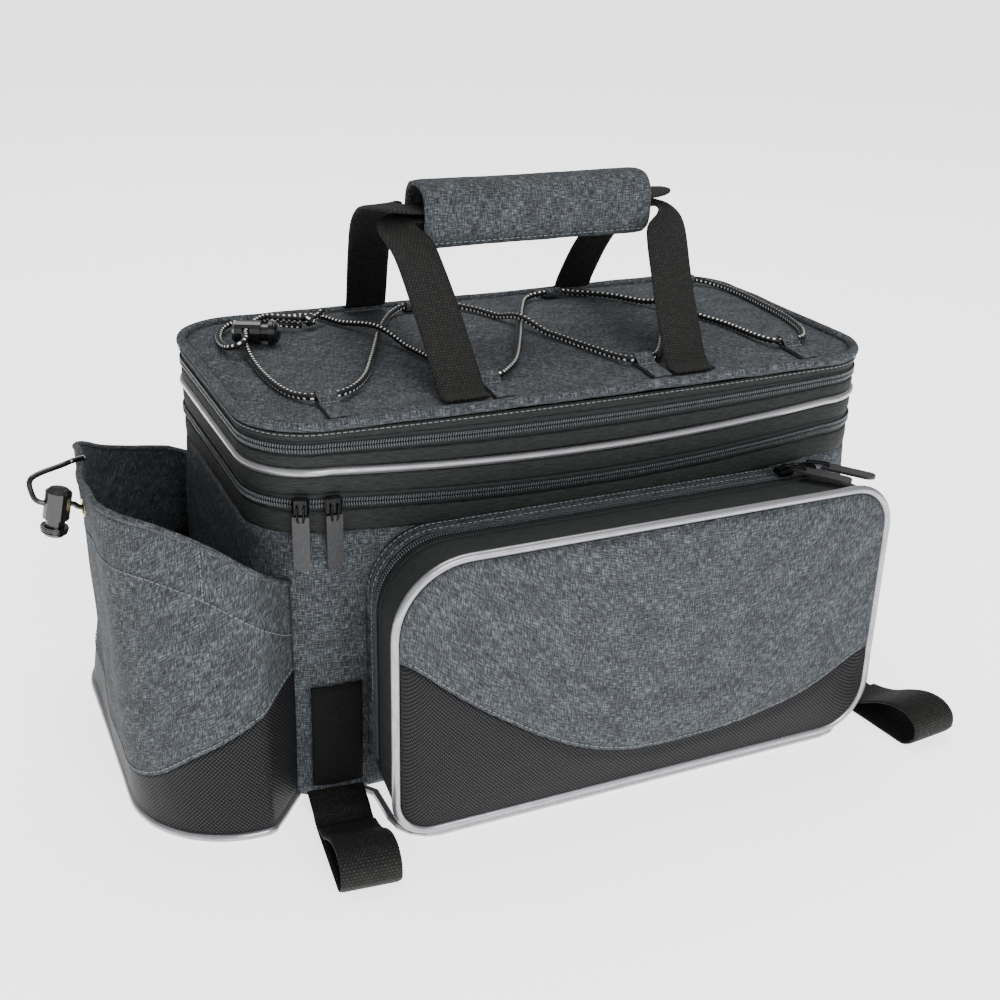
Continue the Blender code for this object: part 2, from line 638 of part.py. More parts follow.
def build_pouch_base():
    """The flat floor of the pouch, fitted round the end of the main compartment."""
    inset = 2 * TRIM_RADIUS
    outer = [pouch_place(s, 0.0) for s in pouch_shares()[1:-1]]
    centre = Vector((-BODY_LENGTH / 2, 0.0))
    outer = [p + (centre - p).normalized() * inset for p in outer]
    inner = [Vector((p.x, p.y)) for p in body_row(BASE_CHAMFER, outset=3 * GAP, sagging=False)]
    inner = [p for p in inner if p.x < POUCH_SEAM_X - inset]
    shape = bmesh.new()
    ring = [shape.verts.new((p.x, p.y, GAP)) for p in outer + inner]
    base = shape.faces.new(ring)
    lifted = bmesh.ops.extrude_face_region(shape, geom=[base])
    top = [v for v in lifted["geom"] if isinstance(v, bmesh.types.BMVert)]
    bmesh.ops.translate(shape, verts=top, vec=(0, 0, WALL))
    bmesh.ops.triangulate(shape, faces=[f for f in shape.faces if len(f.verts) > 4])
    bmesh.ops.recalc_face_normals(shape, faces=shape.faces)
    mesh_object("pouch_base", shape, DOBBY)


def eyelet_place():
    """The eyelet's centre on the pouch's outer face, under the hem."""
    z = POUCH_HEIGHT - EYELET_DROP
    return Vector((pouch_place(1.0, z).x - GAP, EYELET_Y, z))


def build_eyelet():
    centre = eyelet_place()
    rows = []
    for radius, out in ((EYELET_INNER, 0.0), (EYELET_OUTER, 0.0), (EYELET_OUTER, 0.5),
                        (0.5 * (EYELET_OUTER + EYELET_INNER), 1.0), (EYELET_INNER, 0.5)):
        rows.append([centre + Vector((-out * EYELET_THICKNESS, radius * math.cos(a), radius * math.sin(a)))
                     for a in (2 * math.pi * k / 14 for k in range(14))])
    shape = bmesh.new()
    grid = [[shape.verts.new(p) for p in row] for row in rows]
    for low, high in zip(grid, grid[1:] + grid[:1]):
        for i in range(14):
            j = (i + 1) % 14
            shape.faces.new((low[i], low[j], high[j], high[i]))
    bmesh.ops.recalc_face_normals(shape, faces=shape.faces)
    mesh_object("pouch_eyelet", shape, EYELET_BRASS)


# Base piping, patch and straps

def build_base_piping():
    """Piping in the seam round the base: from the pouch's front seam along the front, out round
    the underside of the pocket, and round the right end and back to the pouch's back seam."""
    z = TRIM_RADIUS + GAP
    grow = TRIM_RADIUS / 2
    outline = [Vector((p.x, p.y, z)) for p in body_row(BASE_CHAMFER, outset=grow, sagging=False)]
    front_y = -(BODY_WIDTH / 2 + POCKET_DEPTH - TRIM_RADIUS)
    right = POCKET_RIGHT - POCKET_FLARE
    left = POCKET_LEFT + POCKET_FLARE
    turn = POCKET_RADII["left_bottom"]
    wall_y = body_front(0.0, BASE_CHAMFER) - grow
    start = [p for p in outline if POUCH_SEAM_X + TRIM_RADIUS < p.x < left - turn / 2 and p.y < 0]
    start.sort(key=lambda p: p.x)
    under = [Vector((left - turn / 4, wall_y, z)), Vector((left, wall_y - turn / 3, z)),
             Vector((left, front_y + turn, z))]
    under += [Vector((left + turn * (1 - math.cos(a)), front_y + turn * (1 - math.sin(a)), z))
              for a in (math.pi / 2 * k / 4 for k in range(1, 5))]
    under += [Vector((right - turn * (1 - math.sin(a)), front_y + turn * (1 - math.cos(a)), z))
              for a in (math.pi / 2 * k / 4 for k in range(5))]
    end = [p for p in outline if p.x > right + 4 * TRIM_RADIUS and p.y < 0]
    end.sort(key=lambda p: p.x + p.y)
    back = [p for p in outline if p.y >= 0 and p.x > POUCH_SEAM_X + TRIM_RADIUS]
    back.sort(key=lambda p: math.atan2(p.y, p.x - 0.0))
    under.append(Vector((right, wall_y - 3 * TRIM_RADIUS, z)))
    cord("base_piping", start + under + end + back, TRIM_RADIUS, SILVER)


def wall_sheet(name, left, width, low, height, thickness, finish):
    """A sheet that lies on the front wall."""
    columns = []
    for i in range(6):
        x = left + width * i / 5
        column = []
        for k in range(6):
            z = low + height * k / 5
            column.append(Vector((x, body_front(x, z) - 2 * GAP - thickness, z)))
        columns.append(column)
    thicken(loft(name, columns, finish, around=False, middle=(left, 0.0, low)), thickness)


def ribbon(name, stations, thickness, finish):
    """A flat strap: each station is its centre, the way its width runs and its half width."""
    centres = [c for c, _, _ in stations]
    rows = []
    for i, (centre, across, half) in enumerate(stations):
        ahead = centres[min(i + 1, len(centres) - 1)] - centres[max(i - 1, 0)]
        across = across.normalized()
        up = ahead.cross(across).normalized() * thickness / 2
        side = across * half
        rows.append([centre - side - up, centre + side - up, centre + side + up, centre - side + up])
    return loft(name, rows, finish, capped=True)


def rack_strap(name, root, end, root_slant):
    """A strap that leaves the base seam, lies on the floor and folds back over in a loop."""
    half = STRAP_WIDTH / 2
    floor = STRAP_THICKNESS / 2 + GAP
    top = BASE_CHAMFER + STRAP_THICKNESS
    loop = STRAP_LOOP_HEIGHT
    run = (Vector(end) - Vector(root)).length
    profile = [(0.0, top), (0.04, top), (0.10, top - 0.0012), (0.18, 0.0042), (0.28, floor), (0.62, floor),
               (0.80, floor), (0.92, 0.0016), (0.985, 0.0065), (1.0, 0.5 * loop), (0.985, 0.78 * loop),
               (0.93, 0.95 * loop), (0.86, loop), (0.76, 0.93 * loop), (0.64, 0.70 * loop),
               (0.52, 0.40 * loop), (0.42, 0.0052), (0.34, 0.0036)]
    way = (Vector(end) - Vector(root)).normalized()
    side = Vector((-way.y, way.x, 0.0))
    line = [Vector((root[0] + way.x * run * s, root[1] + way.y * run * s, z)) for s, z in profile]
    rows = []
    for i, centre in enumerate(line):
        slant = root_slant * max(0.0, 1.0 - 5 * profile[i][0]) if i < len(line) / 2 else 0.0
        across = (side + way * slant) * half
        ahead = line[min(i + 1, len(line) - 1)] - line[max(i - 1, 0)]
        normal = side.cross(ahead).normalized() * STRAP_THICKNESS / 2
        rows.append([centre - across - normal, centre + across - normal,
                     centre + across + normal, centre - across + normal])
    loft(name, rows, BLACK_WEBBING, capped=True)


def build_base_trim():
    build_base_piping()
    wall_sheet("hook_patch", PATCH_LEFT, PATCH_WIDTH, PATCH_BOTTOM, PATCH_HEIGHT, PATCH_THICKNESS, HOOK_TAPE)
    top = BASE_CHAMFER + 2 * STRAP_THICKNESS
    left_y = body_front(LEFT_STRAP_X[0], top) - 3 * GAP
    rack_strap("rack_strap_left", (LEFT_STRAP_X[0], left_y, 0.0), (LEFT_STRAP_X[1], -STRAP_REACH, 0.0), 0.0)
    right_y = body_front(RIGHT_STRAP_X[0], top) - 2 * TRIM_RADIUS
    rack_strap("rack_strap_right", (RIGHT_STRAP_X[0], right_y, 0.0), (RIGHT_STRAP_X[1], -STRAP_REACH, 0.0),
               RIGHT_STRAP_SLANT)


# Handle

def strap_stations(rows, side, anchors):
    """A whole strap: up from its left anchor, through the grip and down to its right anchor."""
    ends = []
    for end_x, way, anchor in ((GRIP_LEFT, -1, anchors[0]), (GRIP_RIGHT, 1, anchors[1])):
        end = []
        for y, z, share, past, wide_x, wide_y in rows:
            x = end_x + way * (anchor * (1 - share) + past * share)
            end.append((Vector((x, side * y, z)), Vector((-way * wide_x, side * wide_y, 0.0))))
        ends.append(end)
    stations = ends[0] + ends[1][::-1]
    places = smooth_line([place for place, _ in stations], 2)
    turns = smooth_line([turn for _, turn in stations], 2)
    return [(place, turn, WEBBING_WIDTH / 2) for place, turn in zip(places, turns)]


def build_handle():
    front = strap_stations(FRONT_STRAP_ROWS, -1, FRONT_ANCHORS)
    back = strap_stations(BACK_STRAP_ROWS, 1, BACK_ANCHORS)
    ribbon("handle_strap_front", front, WEBBING_THICKNESS, BLACK_WEBBING)
    ribbon("handle_strap_back", back, WEBBING_THICKNESS, BLACK_WEBBING)
    rows = []
    for i in range(5):
        x = GRIP_LEFT + (GRIP_RIGHT - GRIP_LEFT) * i / 4
        row = []
        for k in range(16):
            a = 2 * math.pi * k / 16
            c, s = math.cos(a), math.sin(a)
            row.append(Vector((x, GRIP_WIDE / 2 * math.copysign(abs(c) ** 0.7, c),
                               GRIP_HEIGHT + GRIP_TALL / 2 * math.copysign(abs(s) ** 0.7, s))))
        rows.append(row)
    thicken(loft("handle_grip", rows, HEATHER, middle=(0.0, 0.0, GRIP_HEIGHT)), GRIP_WALL)


# Lid lacing and cord locks

def cord_height(x, y):
    return lid_height(x, y) + GAP + CORD_RADIUS


def tab(name, x, side, inner):
    """A narrow strip folded round the lacing and sewn down at the lid's binding. Gives the two
    places where the lacing enters and leaves its fold."""
    eye = CORD_RADIUS + GAP + TAB_CLOTH / 2
    outer = TAB_OUTER_Y
    while edge_distance(abs(x) + TAB_WIDTH / 2, outer) < lid_edge() + 2 * GAP:
        outer -= GAP
    middle = (inner + outer) / 2
    base_in = lid_height(x, inner) + GAP + TAB_CLOTH / 2
    base_middle = lid_height(x, middle) + GAP + TAB_CLOTH / 2
    base_out = lid_height(abs(x) + TAB_WIDTH / 2, outer) + GAP + TAB_CLOTH / 2
    line = [(outer, base_out), (middle, base_middle), (inner, base_in)]
    centre_z = base_in + eye
    line += [(inner - eye * math.sin(a), centre_z - eye * math.cos(a))
             for a in (math.pi * k / 6 for k in range(1, 6))]
    line += [(inner, centre_z + eye), (inner + 0.71 * eye, centre_z + 0.71 * eye),
             (inner + 2.4 * eye, base_middle + TAB_CLOTH + 2 * GAP), (outer, base_out + TAB_CLOTH + GAP)]
    rows = [[Vector((x + way * TAB_WIDTH / 2, side * y, z)) for y, z in line] for way in (-1, 1)]
    shape = bmesh.new()
    grid = [[shape.verts.new(p) for p in row] for row in rows]
    for i in range(len(line) - 1):
        shape.faces.new((grid[0][i], grid[0][i + 1], grid[1][i + 1], grid[1][i]))
    solid = mesh_object(name, shape, HEATHER).modifiers.new("cloth", "SOLIDIFY")
    solid.thickness = TAB_CLOTH
    solid.offset = 0.0
    reach = TAB_WIDTH / 2 + 4 * GAP
    return [Vector((x + way * reach, side * inner, centre_z)) for way in (-1, 1)]


def lock_pass(lift):
    """Where a strand enters the lid's cord lock on its +Y side and leaves it on its -Y side."""
    centre = lock_centre() + Vector((0.0, 0.0, lift))
    reach = lock_hole_way() * (LOCK_RADIUS + 4 * GAP)
    return [centre + reach, centre - reach]


def lacing_line(passes):
    """The lacing: curves between the straight places where an eye or the lock holds it."""
    line = []
    for i, stops in enumerate(LACING_RUNS):
        points = [Vector((x, y, cord_height(x, y) + lift)) for x, y, lift in stops]
        before, after = Vector(), Vector()
        if i > 0:
            entry, leave = passes[i - 1]
            before = (leave - entry).normalized() * (points[0] - leave).length
            points.insert(0, leave)
        if i < len(passes):
            entry, leave = passes[i]
            after = (leave - entry).normalized() * (points[-1] - entry).length
            points.append(entry)
        ends = [points[0] - (before if i > 0 else points[1] - points[0])] + points
        ends.append(points[-1] + (after if i < len(passes) else points[-1] - points[-2]))
        run = smooth_line(ends, 4)[4:-4]
        run[0], run[-1] = points[0], points[-1]
        line += thinned(run, CORD_RADIUS / 4)
    return [Vector((p.x, p.y, max(p.z, cord_height(p.x, p.y)))) for p in line]


def lock_way():
    a = math.radians(LID_LOCK_TURN)
    return Vector((math.cos(a), math.sin(a), 0.0))


def lock_hole_way():
    a = math.radians(LID_LOCK_TURN + 90)
    return Vector((math.cos(a), math.sin(a), 0.0))


def lock_centre():
    x, y = LID_LOCK_PLACE
    return Vector((x, y, lid_height(x, y) + BUTTON_HEAD + 2 * GAP))


def turned(name, profile, place, way, finish, sides=LOCK_SIDES):
    """A turned body on an axis: profile rows are (along the axis, radius), closed at both ends."""
    made = Vector((0, 0, 1)).rotation_difference(way)
    rows = [[place + made @ Vector((r * math.cos(a), r * math.sin(a), t))
             for a in (2 * math.pi * (k + 0.5) / sides for k in range(sides))] for t, r in profile]
    return loft(name, rows, finish, capped=True)


def cut(made, cutter):
    boolean = made.modifiers.new("hole", "BOOLEAN")
    boolean.operation = "DIFFERENCE"
    boolean.solver = "EXACT"
    boolean.object = cutter


def hole_cutter(name, place, way, along, size_along, size_high, depth):
    """A box cutter through a lock: its long side follows the cord."""
    up = way.cross(along).normalized()
    rows = []
    for end in (-depth, depth):
        rows.append([place + way * end + along * a * size_along / 2 + up * u * size_high / 2
                     for a, u in ((-1, -1), (1, -1), (1, 1), (-1, 1))])
    made = loft(name, rows, LOCK_PLASTIC, capped=True)
    PARTS.objects.unlink(made)
    CUTTERS.objects.link(made)
    made.hide_render = True
    made.display_type = "WIRE"
    return made


def cord_lock(prefix, centre, way, hole_way, strands, cord_radius):
    """A spring cord lock: a barrel with a bore, and a button whose stem slides in it. The cord
    passes through both in a cross hole, which is a slot in the stem to leave it its travel."""
    half = LOCK_LENGTH / 2
    high = 2 * cord_radius * strands + 2 * GAP
    barrel = turned(prefix + "_lock_barrel",
                    [(-half, 0.72 * LOCK_RADIUS), (-0.8 * half, LOCK_RADIUS), (half, LOCK_RADIUS),
                     (half, LOCK_BORE), (-half + LOCK_FLOOR, LOCK_BORE)], centre, way, LOCK_PLASTIC)
    cutter = hole_cutter(prefix + "_barrel_hole", centre, hole_way, way, 2 * cord_radius + 2 * GAP, high,
                         2 * LOCK_RADIUS)
    cut(barrel, cutter)
    reach = half + BUTTON_TRAVEL + GAP
    head_end = reach + BUTTON_HEAD_LENGTH
    tip = -half + LOCK_FLOOR + BUTTON_TRAVEL + GAP
    button = turned(prefix + "_lock_button",
                    [(tip, BUTTON_STEM), (reach, BUTTON_STEM), (reach, BUTTON_HEAD),
                     (reach + 0.35 * BUTTON_HEAD_LENGTH, BUTTON_HEAD),
                     (reach + 0.8 * BUTTON_HEAD_LENGTH, 0.72 * BUTTON_HEAD), (head_end, 0.3 * BUTTON_HEAD)],
                    centre, way, LOCK_PLASTIC)
    slot_length = 2 * cord_radius + 2 * GAP + BUTTON_TRAVEL
    slot = hole_cutter(prefix + "_button_slot", centre + way * BUTTON_TRAVEL / 2, hole_way, way,
                       slot_length, high, 2 * LOCK_RADIUS)
    cut(button, slot)


def build_lacing():
    front = [tab(f"cord_tab_front_{i + 1}", x, -1, TAB_FRONT_Y) for i, x in enumerate(FRONT_TABS)]
    back = [tab(f"cord_tab_back_{i + 1}", x, 1, TAB_BACK_Y) for i, x in enumerate(BACK_TABS)]
    strand = CORD_RADIUS + GAP / 2
    rightward = [back[0], front[1], back[2], front[3]]
    leftward = [back[3][::-1], front[2][::-1], back[1][::-1], front[0][::-1]]
    passes = [lock_pass(strand)] + rightward + leftward + [lock_pass(-strand)[::-1]]
    cord("lid_cord", lacing_line(passes), CORD_RADIUS, ELASTIC)
    x, y = KNOT_PLACE
    turned("cord_knot", [(-0.0045, 0.0034), (-0.0030, 0.0044), (0.0025, 0.0044), (0.0045, 0.0020),
                         (0.0110, 0.0018)],
           Vector((x, y, lid_height(x, y) + 0.0048)), Vector((0.8, 0.6, 0.0)), ELASTIC, sides=8)
    cord_lock("lid", lock_centre(), lock_way(), lock_hole_way(), 2, CORD_RADIUS)


def build_drawcord():
    eyelet = eyelet_place()
    lean = math.radians(POUCH_LOCK_LEAN)
    way = Vector((-math.sin(lean), 0.0, -math.cos(lean)))
    centre = eyelet + Vector((-POUCH_LOCK_OUT, 0.0, 0.0045))
    hole_way = Vector((math.cos(lean), 0.0, -math.sin(lean)))
    cord_lock("pouch", centre, way, hole_way, 1, DRAWCORD_RADIUS)
    hem_z = pouch_level(HEM_ROWS, 1.0)
    outer = pouch_place(1.0, hem_z).x
    line = [eyelet + Vector((-GAP, 0.0, 0.0)), eyelet + Vector((-0.0030, 0.0, 0.0012)),
            centre + hole_way * 0.0075, centre, centre - hole_way * 0.0085,
            centre - hole_way * 0.0120 + Vector((0.0005, 0.003, 0.003)),
            centre + Vector((-0.010, 0.008, 0.012)), Vector((outer - 0.006, -0.004, hem_z + 0.0060)),
            Vector((outer - 0.001, 0.004, hem_z + 0.0042)), Vector((outer + 0.006, 0.012, hem_z + 0.0020))]
    cord("pouch_drawcord", smooth_line(line, 2), DRAWCORD_RADIUS, ELASTIC)


# Zip pulls

def block(name, place, size, axes, finish, bevel):
    """A small box with rounded edges, turned to the given axes."""
    shape = bmesh.new()
    bmesh.ops.create_cube(shape, size=1.0)
    for v in shape.verts:
        v.co = place + sum((axis * c * s for axis, c, s in zip(axes, v.co, size)), Vector())
    bmesh.ops.recalc_face_normals(shape, faces=shape.faces)
    bmesh.ops.bevel(shape, geom=shape.edges[:], offset=bevel, segments=1, profile=0.5, affect="EDGES")
    return mesh_object(name, shape, finish)


def tag_plate(name, top, down, out, finish):
    """A pull tag: a flat tongue with a round lower end."""
    width, thickness, length = TAG
    side = down.cross(out).normalized()
    outline = [(-width / 2, 0.0), (width / 2, 0.0)]
    outline += [(width / 2 * math.cos(a), length - width / 2 + width / 2 * math.sin(a))
                for a in (math.pi * k / 8 for k in range(9))]
    rows = [[top + side * x + down * z + out * t for x, z in outline] for t in (0.0, thickness)]
    return loft(name, rows, finish, capped=True)


def build_pulls():
    levels = band_levels()
    low, high = levels["lower_zip"]
    coil = (low + high) / 2
    down = Vector((0, 0, -1))
    for i, x in enumerate(MAIN_SLIDER_X):
        y = body_front(x, coil)
        past = abs(x) - (BODY_LENGTH / 2 - BODY_CORNER)
        out = Vector((-max(0.0, past) / BODY_CORNER, 0.0, 0.0))
        out.y = -math.sqrt(1.0 - out.x ** 2)
        side = down.cross(out)
        z = coil - sag(x, y, coil)
        seat = Vector((x, y, z)) + out * (COIL_RISE + 3 * GAP + SLIDER[1] / 2)
        block(f"main_slider_{i + 1}", seat, SLIDER, (side, out, down), NICKEL, 0.0010)
        top = seat + out * (GAP - SLIDER[1] / 2) + down * (SLIDER[2] / 2 + GAP)
        tag_plate(f"main_tag_{i + 1}", top + out * 0.0018, down, out, TAG_RUBBER)
    coil_depth = POCKET_REAR_STRIP + GAP + 0.4 * POCKET_ZIP_STRIP
    flare = POCKET_FLARE * (1.0 - coil_depth / POCKET_DEPTH)
    out = Vector((0, 0, 1))
    for i, x in enumerate(POCKET_SLIDER_X):
        seat = Vector((x, -(BODY_WIDTH / 2 + coil_depth), POCKET_TOP - flare + COIL_RISE + 4 * GAP + SLIDER[1] / 2))
        block(f"pocket_slider_{i + 1}", seat, SLIDER, (Vector((0, 1, 0)), out, Vector((1, 0, 0))), NICKEL, 0.0010)
        way = Vector((0.55, -0.83, 0.0)).normalized()
        start = seat + Vector((SLIDER[2] / 2 + 0.0016, -0.0062, 0.0016))
        tag_plate(f"pocket_tag_{i + 1}", start, way, out, TAG_RUBBER)


def main():
    global PARTS, CUTTERS
    for old in list(bpy.data.objects):
        bpy.data.objects.remove(old, do_unlink=True)
    PARTS = bpy.data.collections.new("bicycle_rack_bag")
    CUTTERS = bpy.data.collections.new("cutters")
    bpy.context.scene.collection.children.link(PARTS)
    bpy.context.scene.collection.children.link(CUTTERS)
    build_tub()
    build_bands()
    build_lid()
    build_pocket()
    build_pouch()
    build_base_trim()
    build_handle()
    build_lacing()
    build_drawcord()
    build_pulls()


main()
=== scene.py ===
import math

import bmesh
import bpy
from bpy.props import FloatProperty, PointerProperty, StringProperty
from mathutils import Euler, Matrix, Vector, noise


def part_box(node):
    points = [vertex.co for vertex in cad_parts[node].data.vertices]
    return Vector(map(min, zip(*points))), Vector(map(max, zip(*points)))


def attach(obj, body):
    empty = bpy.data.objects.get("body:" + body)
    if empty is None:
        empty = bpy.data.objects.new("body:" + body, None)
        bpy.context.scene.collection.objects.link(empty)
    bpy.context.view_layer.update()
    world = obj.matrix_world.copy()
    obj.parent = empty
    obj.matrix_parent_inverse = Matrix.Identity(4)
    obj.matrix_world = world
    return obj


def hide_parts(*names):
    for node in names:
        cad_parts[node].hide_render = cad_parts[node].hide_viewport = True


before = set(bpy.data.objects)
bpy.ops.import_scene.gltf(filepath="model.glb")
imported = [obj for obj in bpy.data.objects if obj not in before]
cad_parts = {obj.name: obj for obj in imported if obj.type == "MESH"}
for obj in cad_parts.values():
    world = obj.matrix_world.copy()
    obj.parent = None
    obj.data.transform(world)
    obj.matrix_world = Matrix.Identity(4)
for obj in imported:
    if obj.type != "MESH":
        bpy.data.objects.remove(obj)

bl_info = {
    "name": "Bicycle Rack Bag",
    "version": (1, 0, 0),
    "blender": (4, 5, 0),
    "location": "View3D > Sidebar > Rack Bag",
    "description": "Dresses a bicycle rack bag with cloth, zips, piping, lacing and webbing",
    "category": "Add Mesh",
}

BODY = "bag"

# Shares of the body's bulge at shares of the tub's height
BULGE_ROWS = ((0.0, 0.30), (0.12, 0.60), (0.30, 0.95), (0.50, 1.00), (0.72, 0.75), (0.88, 0.35), (1.0, 0.0))
# Shares of the trim's sag at shares of the height of the lid's binding
SAG_ROWS = ((0.30, 0.0), (0.74, 0.9), (0.81, 1.0), (0.89, 0.9), (0.95, 0.45), (1.0, 0.0))
# Shares of the way in from the lid's edge, with the share of its dome reached there
DOME_ROWS = ((0.0, 0.0), (0.18, 0.45), (0.45, 0.85), (0.80, 1.0))
# Bands between the tub and the lid: lower edge and upper edge, metres above the tub's underside
LEVELS = {"lower": (0.1543, 0.1653), "lower_zip": (0.1656, 0.1741), "middle": (0.1744, 0.1833),
          "upper": (0.1883, 0.1943), "upper_zip": (0.1946, 0.2016), "top": (0.2019, 0.2059)}
# Seam between the pocket's two cloths: share of width, share of height
SEAM_ROWS = ((0.0, 0.70), (0.10, 0.52), (0.20, 0.375), (0.31, 0.235), (0.41, 0.155), (0.50, 0.125),
             (0.66, 0.132), (0.84, 0.195), (1.0, 0.35))
# Pouch hem and the seam between its cloths: share of the way from the front seam to the middle of
# the outer side, share of the pouch's height
BACK_HEM_ROWS = ((0.0, 0.77), (0.18, 0.79), (0.30, 0.81), (0.42, 0.85), (0.55, 0.92), (0.75, 0.98), (1.0, 1.0))
# How far the pouch's back half is drawn in, by the share of the way round it
DRAWN_ROWS = ((0.0, 0.0), (0.90, 0.0), (1.0, 0.3), (1.2, 1.0), (1.5, 0.9), (1.75, 0.4), (2.0, 0.0))
HEM_ROWS = ((0.0, 0.77), (0.085, 0.825), (0.18, 0.89), (0.27, 0.97), (0.39, 1.03), (0.50, 1.045),
            (0.70, 1.03), (1.0, 1.0))
POUCH_SEAM_ROWS = ((0.0, 0.485), (0.10, 0.467), (0.18, 0.412), (0.27, 0.352), (0.38, 0.29),
                   (0.48, 0.206), (0.62, 0.158), (1.0, 0.145))
POCKET_RADII = {"right_top": 0.024, "left_top": 0.038, "left_bottom": 0.020, "right_bottom": 0.028}
FRONT_TABS = (-0.1365, -0.0500, 0.0410, 0.1355)
BACK_TABS = (-0.1400, -0.0370, 0.0560, 0.1540)
# Half of each handle strap: distance from the lid's middle, height, share of the way to its place
# at the grip, how far past the grip's end that is, and the way its width runs along X and Y
FRONT_STRAP_ROWS = ((0.0907, 0.2118, 0.0, 0.0, 1.0, 0.0), (0.0815, 0.2132, 0.0, 0.0, 1.0, 0.0),
                    (0.0710, 0.2240, 0.1, 0.008, 1.0, 0.0), (0.0450, 0.2500, 0.5, 0.008, 1.0, 0.0),
                    (0.0220, 0.2710, 0.9, 0.009, 1.0, 0.0), (0.0095, 0.2800, 1.0, 0.0125, 0.75, 0.65),
                    (0.0020, 0.2830, 1.0, 0.0085, 0.25, 0.95), (0.0, 0.2833, 1.0, 0.0, 0.0, 1.0),
                    (0.0, 0.2833, 1.0, -0.012, 0.0, 1.0), (0.0, 0.2833, 1.0, -0.036, 0.0, 1.0))
BACK_STRAP_ROWS = ((0.0907, 0.2118, 0.0, 0.0, 1.0, 0.0), (0.0850, 0.2135, 0.0, 0.0, 1.0, 0.0),
                   (0.0800, 0.2225, 0.1, 0.008, 1.0, 0.0), (0.0630, 0.2480, 0.5, 0.010, 1.0, 0.0),
                   (0.0380, 0.2735, 0.85, 0.013, 1.0, 0.0), (0.0195, 0.2860, 1.0, 0.0125, 1.0, 0.0),
                   (0.0095, 0.2885, 1.0, 0.0130, 0.75, 0.65), (0.0020, 0.2882, 1.0, 0.0085, 0.25, 0.95),
                   (0.0, 0.2875, 1.0, 0.0, 0.0, 1.0), (0.0, 0.2875, 1.0, -0.012, 0.0, 1.0),
                   (0.0, 0.2875, 1.0, -0.036, 0.0, 1.0))
# Rack strap: share of its run, height
STRAP_ROWS = ((0.0, 0.0066), (0.04, 0.0066), (0.10, 0.0054), (0.18, 0.0042), (0.28, 0.0011), (0.62, 0.0011),
              (0.80, 0.0011), (0.92, 0.0016), (0.985, 0.0065), (1.0, 0.0105), (0.985, 0.0164),
              (0.93, 0.01995), (0.86, 0.021), (0.76, 0.0195), (0.64, 0.0147), (0.52, 0.0084),
              (0.42, 0.0052), (0.34, 0.0036))
# The lacing between the eyes and the lock, in order from the knot: x, y and lift off the lid
LACING_RUNS = (
    ((-0.1130, 0.0526, 0.0047), (-0.1210, 0.0570, 0.0052), (-0.1330, 0.0575, 0.0066)),
    ((-0.1532, 0.0215, 0.0066), (-0.1575, 0.0175, 0.0052), (-0.1617, 0.0225, 0.0032),
     (-0.1628, 0.0330, 0.0012), (-0.1612, 0.0500, 0.0), (-0.1555, 0.0650, 0.0006)),
    ((-0.1240, 0.0790, 0.0), (-0.1070, 0.0800, 0.0), (-0.0960, 0.0740, 0.0), (-0.0890, 0.0540, 0.0),
     (-0.0770, 0.0240, 0.0040), (-0.0700, -0.0060, 0.0), (-0.0655, -0.0330, 0.0), (-0.0630, -0.0560, 0.0006)),
    ((-0.0360, -0.0600, 0.0006), (-0.0240, -0.0450, 0.0), (-0.0090, -0.0170, 0.0), (0.0065, 0.0145, 0.0),
     (0.0210, 0.0440, 0.0), (0.0360, 0.0690, 0.0)),
    ((0.0720, 0.0700, 0.0), (0.0860, 0.0560, 0.0), (0.0990, 0.0330, 0.0002), (0.1080, 0.0125, 0.0040),
     (0.1150, -0.0060, 0.0002), (0.1210, -0.0270, 0.0), (0.1240, -0.0560, 0.0006)),
    ((0.1520, -0.0590, 0.0), (0.1610, -0.0430, 0.0), (0.1680, -0.0180, 0.0), (0.1715, 0.0100, 0.0),
     (0.1735, 0.0380, 0.0), (0.1710, 0.0610, 0.0)),
    ((0.1370, 0.0620, 0.0), (0.1240, 0.0380, 0.0), (0.1080, 0.0125, 0.0), (0.0930, -0.0080, 0.0),
     (0.0740, -0.0320, 0.0), (0.0580, -0.0560, 0.0)),
    ((0.0280, -0.0540, 0.0), (0.0210, -0.0330, 0.0), (0.0135, -0.0080, 0.0), (0.0065, 0.0145, 0.0040),
     (0.0005, 0.0350, 0.0), (-0.0070, 0.0570, 0.0), (-0.0180, 0.0710, 0.0006)),
    ((-0.0545, 0.0640, 0.0), (-0.0650, 0.0470, 0.0), (-0.0770, 0.0240, 0.0), (-0.0880, -0.0010, 0.0),
     (-0.0970, -0.0210, 0.0), (-0.1070, -0.0420, 0.0), (-0.1180, -0.0580, 0.0006)),
    ((-0.1505, -0.0560, 0.0), (-0.1540, -0.0390, 0.0), (-0.1550, -0.0180, 0.0), (-0.1545, 0.0020, 0.0006),
     (-0.1535, 0.0170, 0.0022)),
    ((-0.1330, 0.0575, 0.0028), (-0.1210, 0.0570, 0.0012), (-0.1130, 0.0526, 0.0008)))


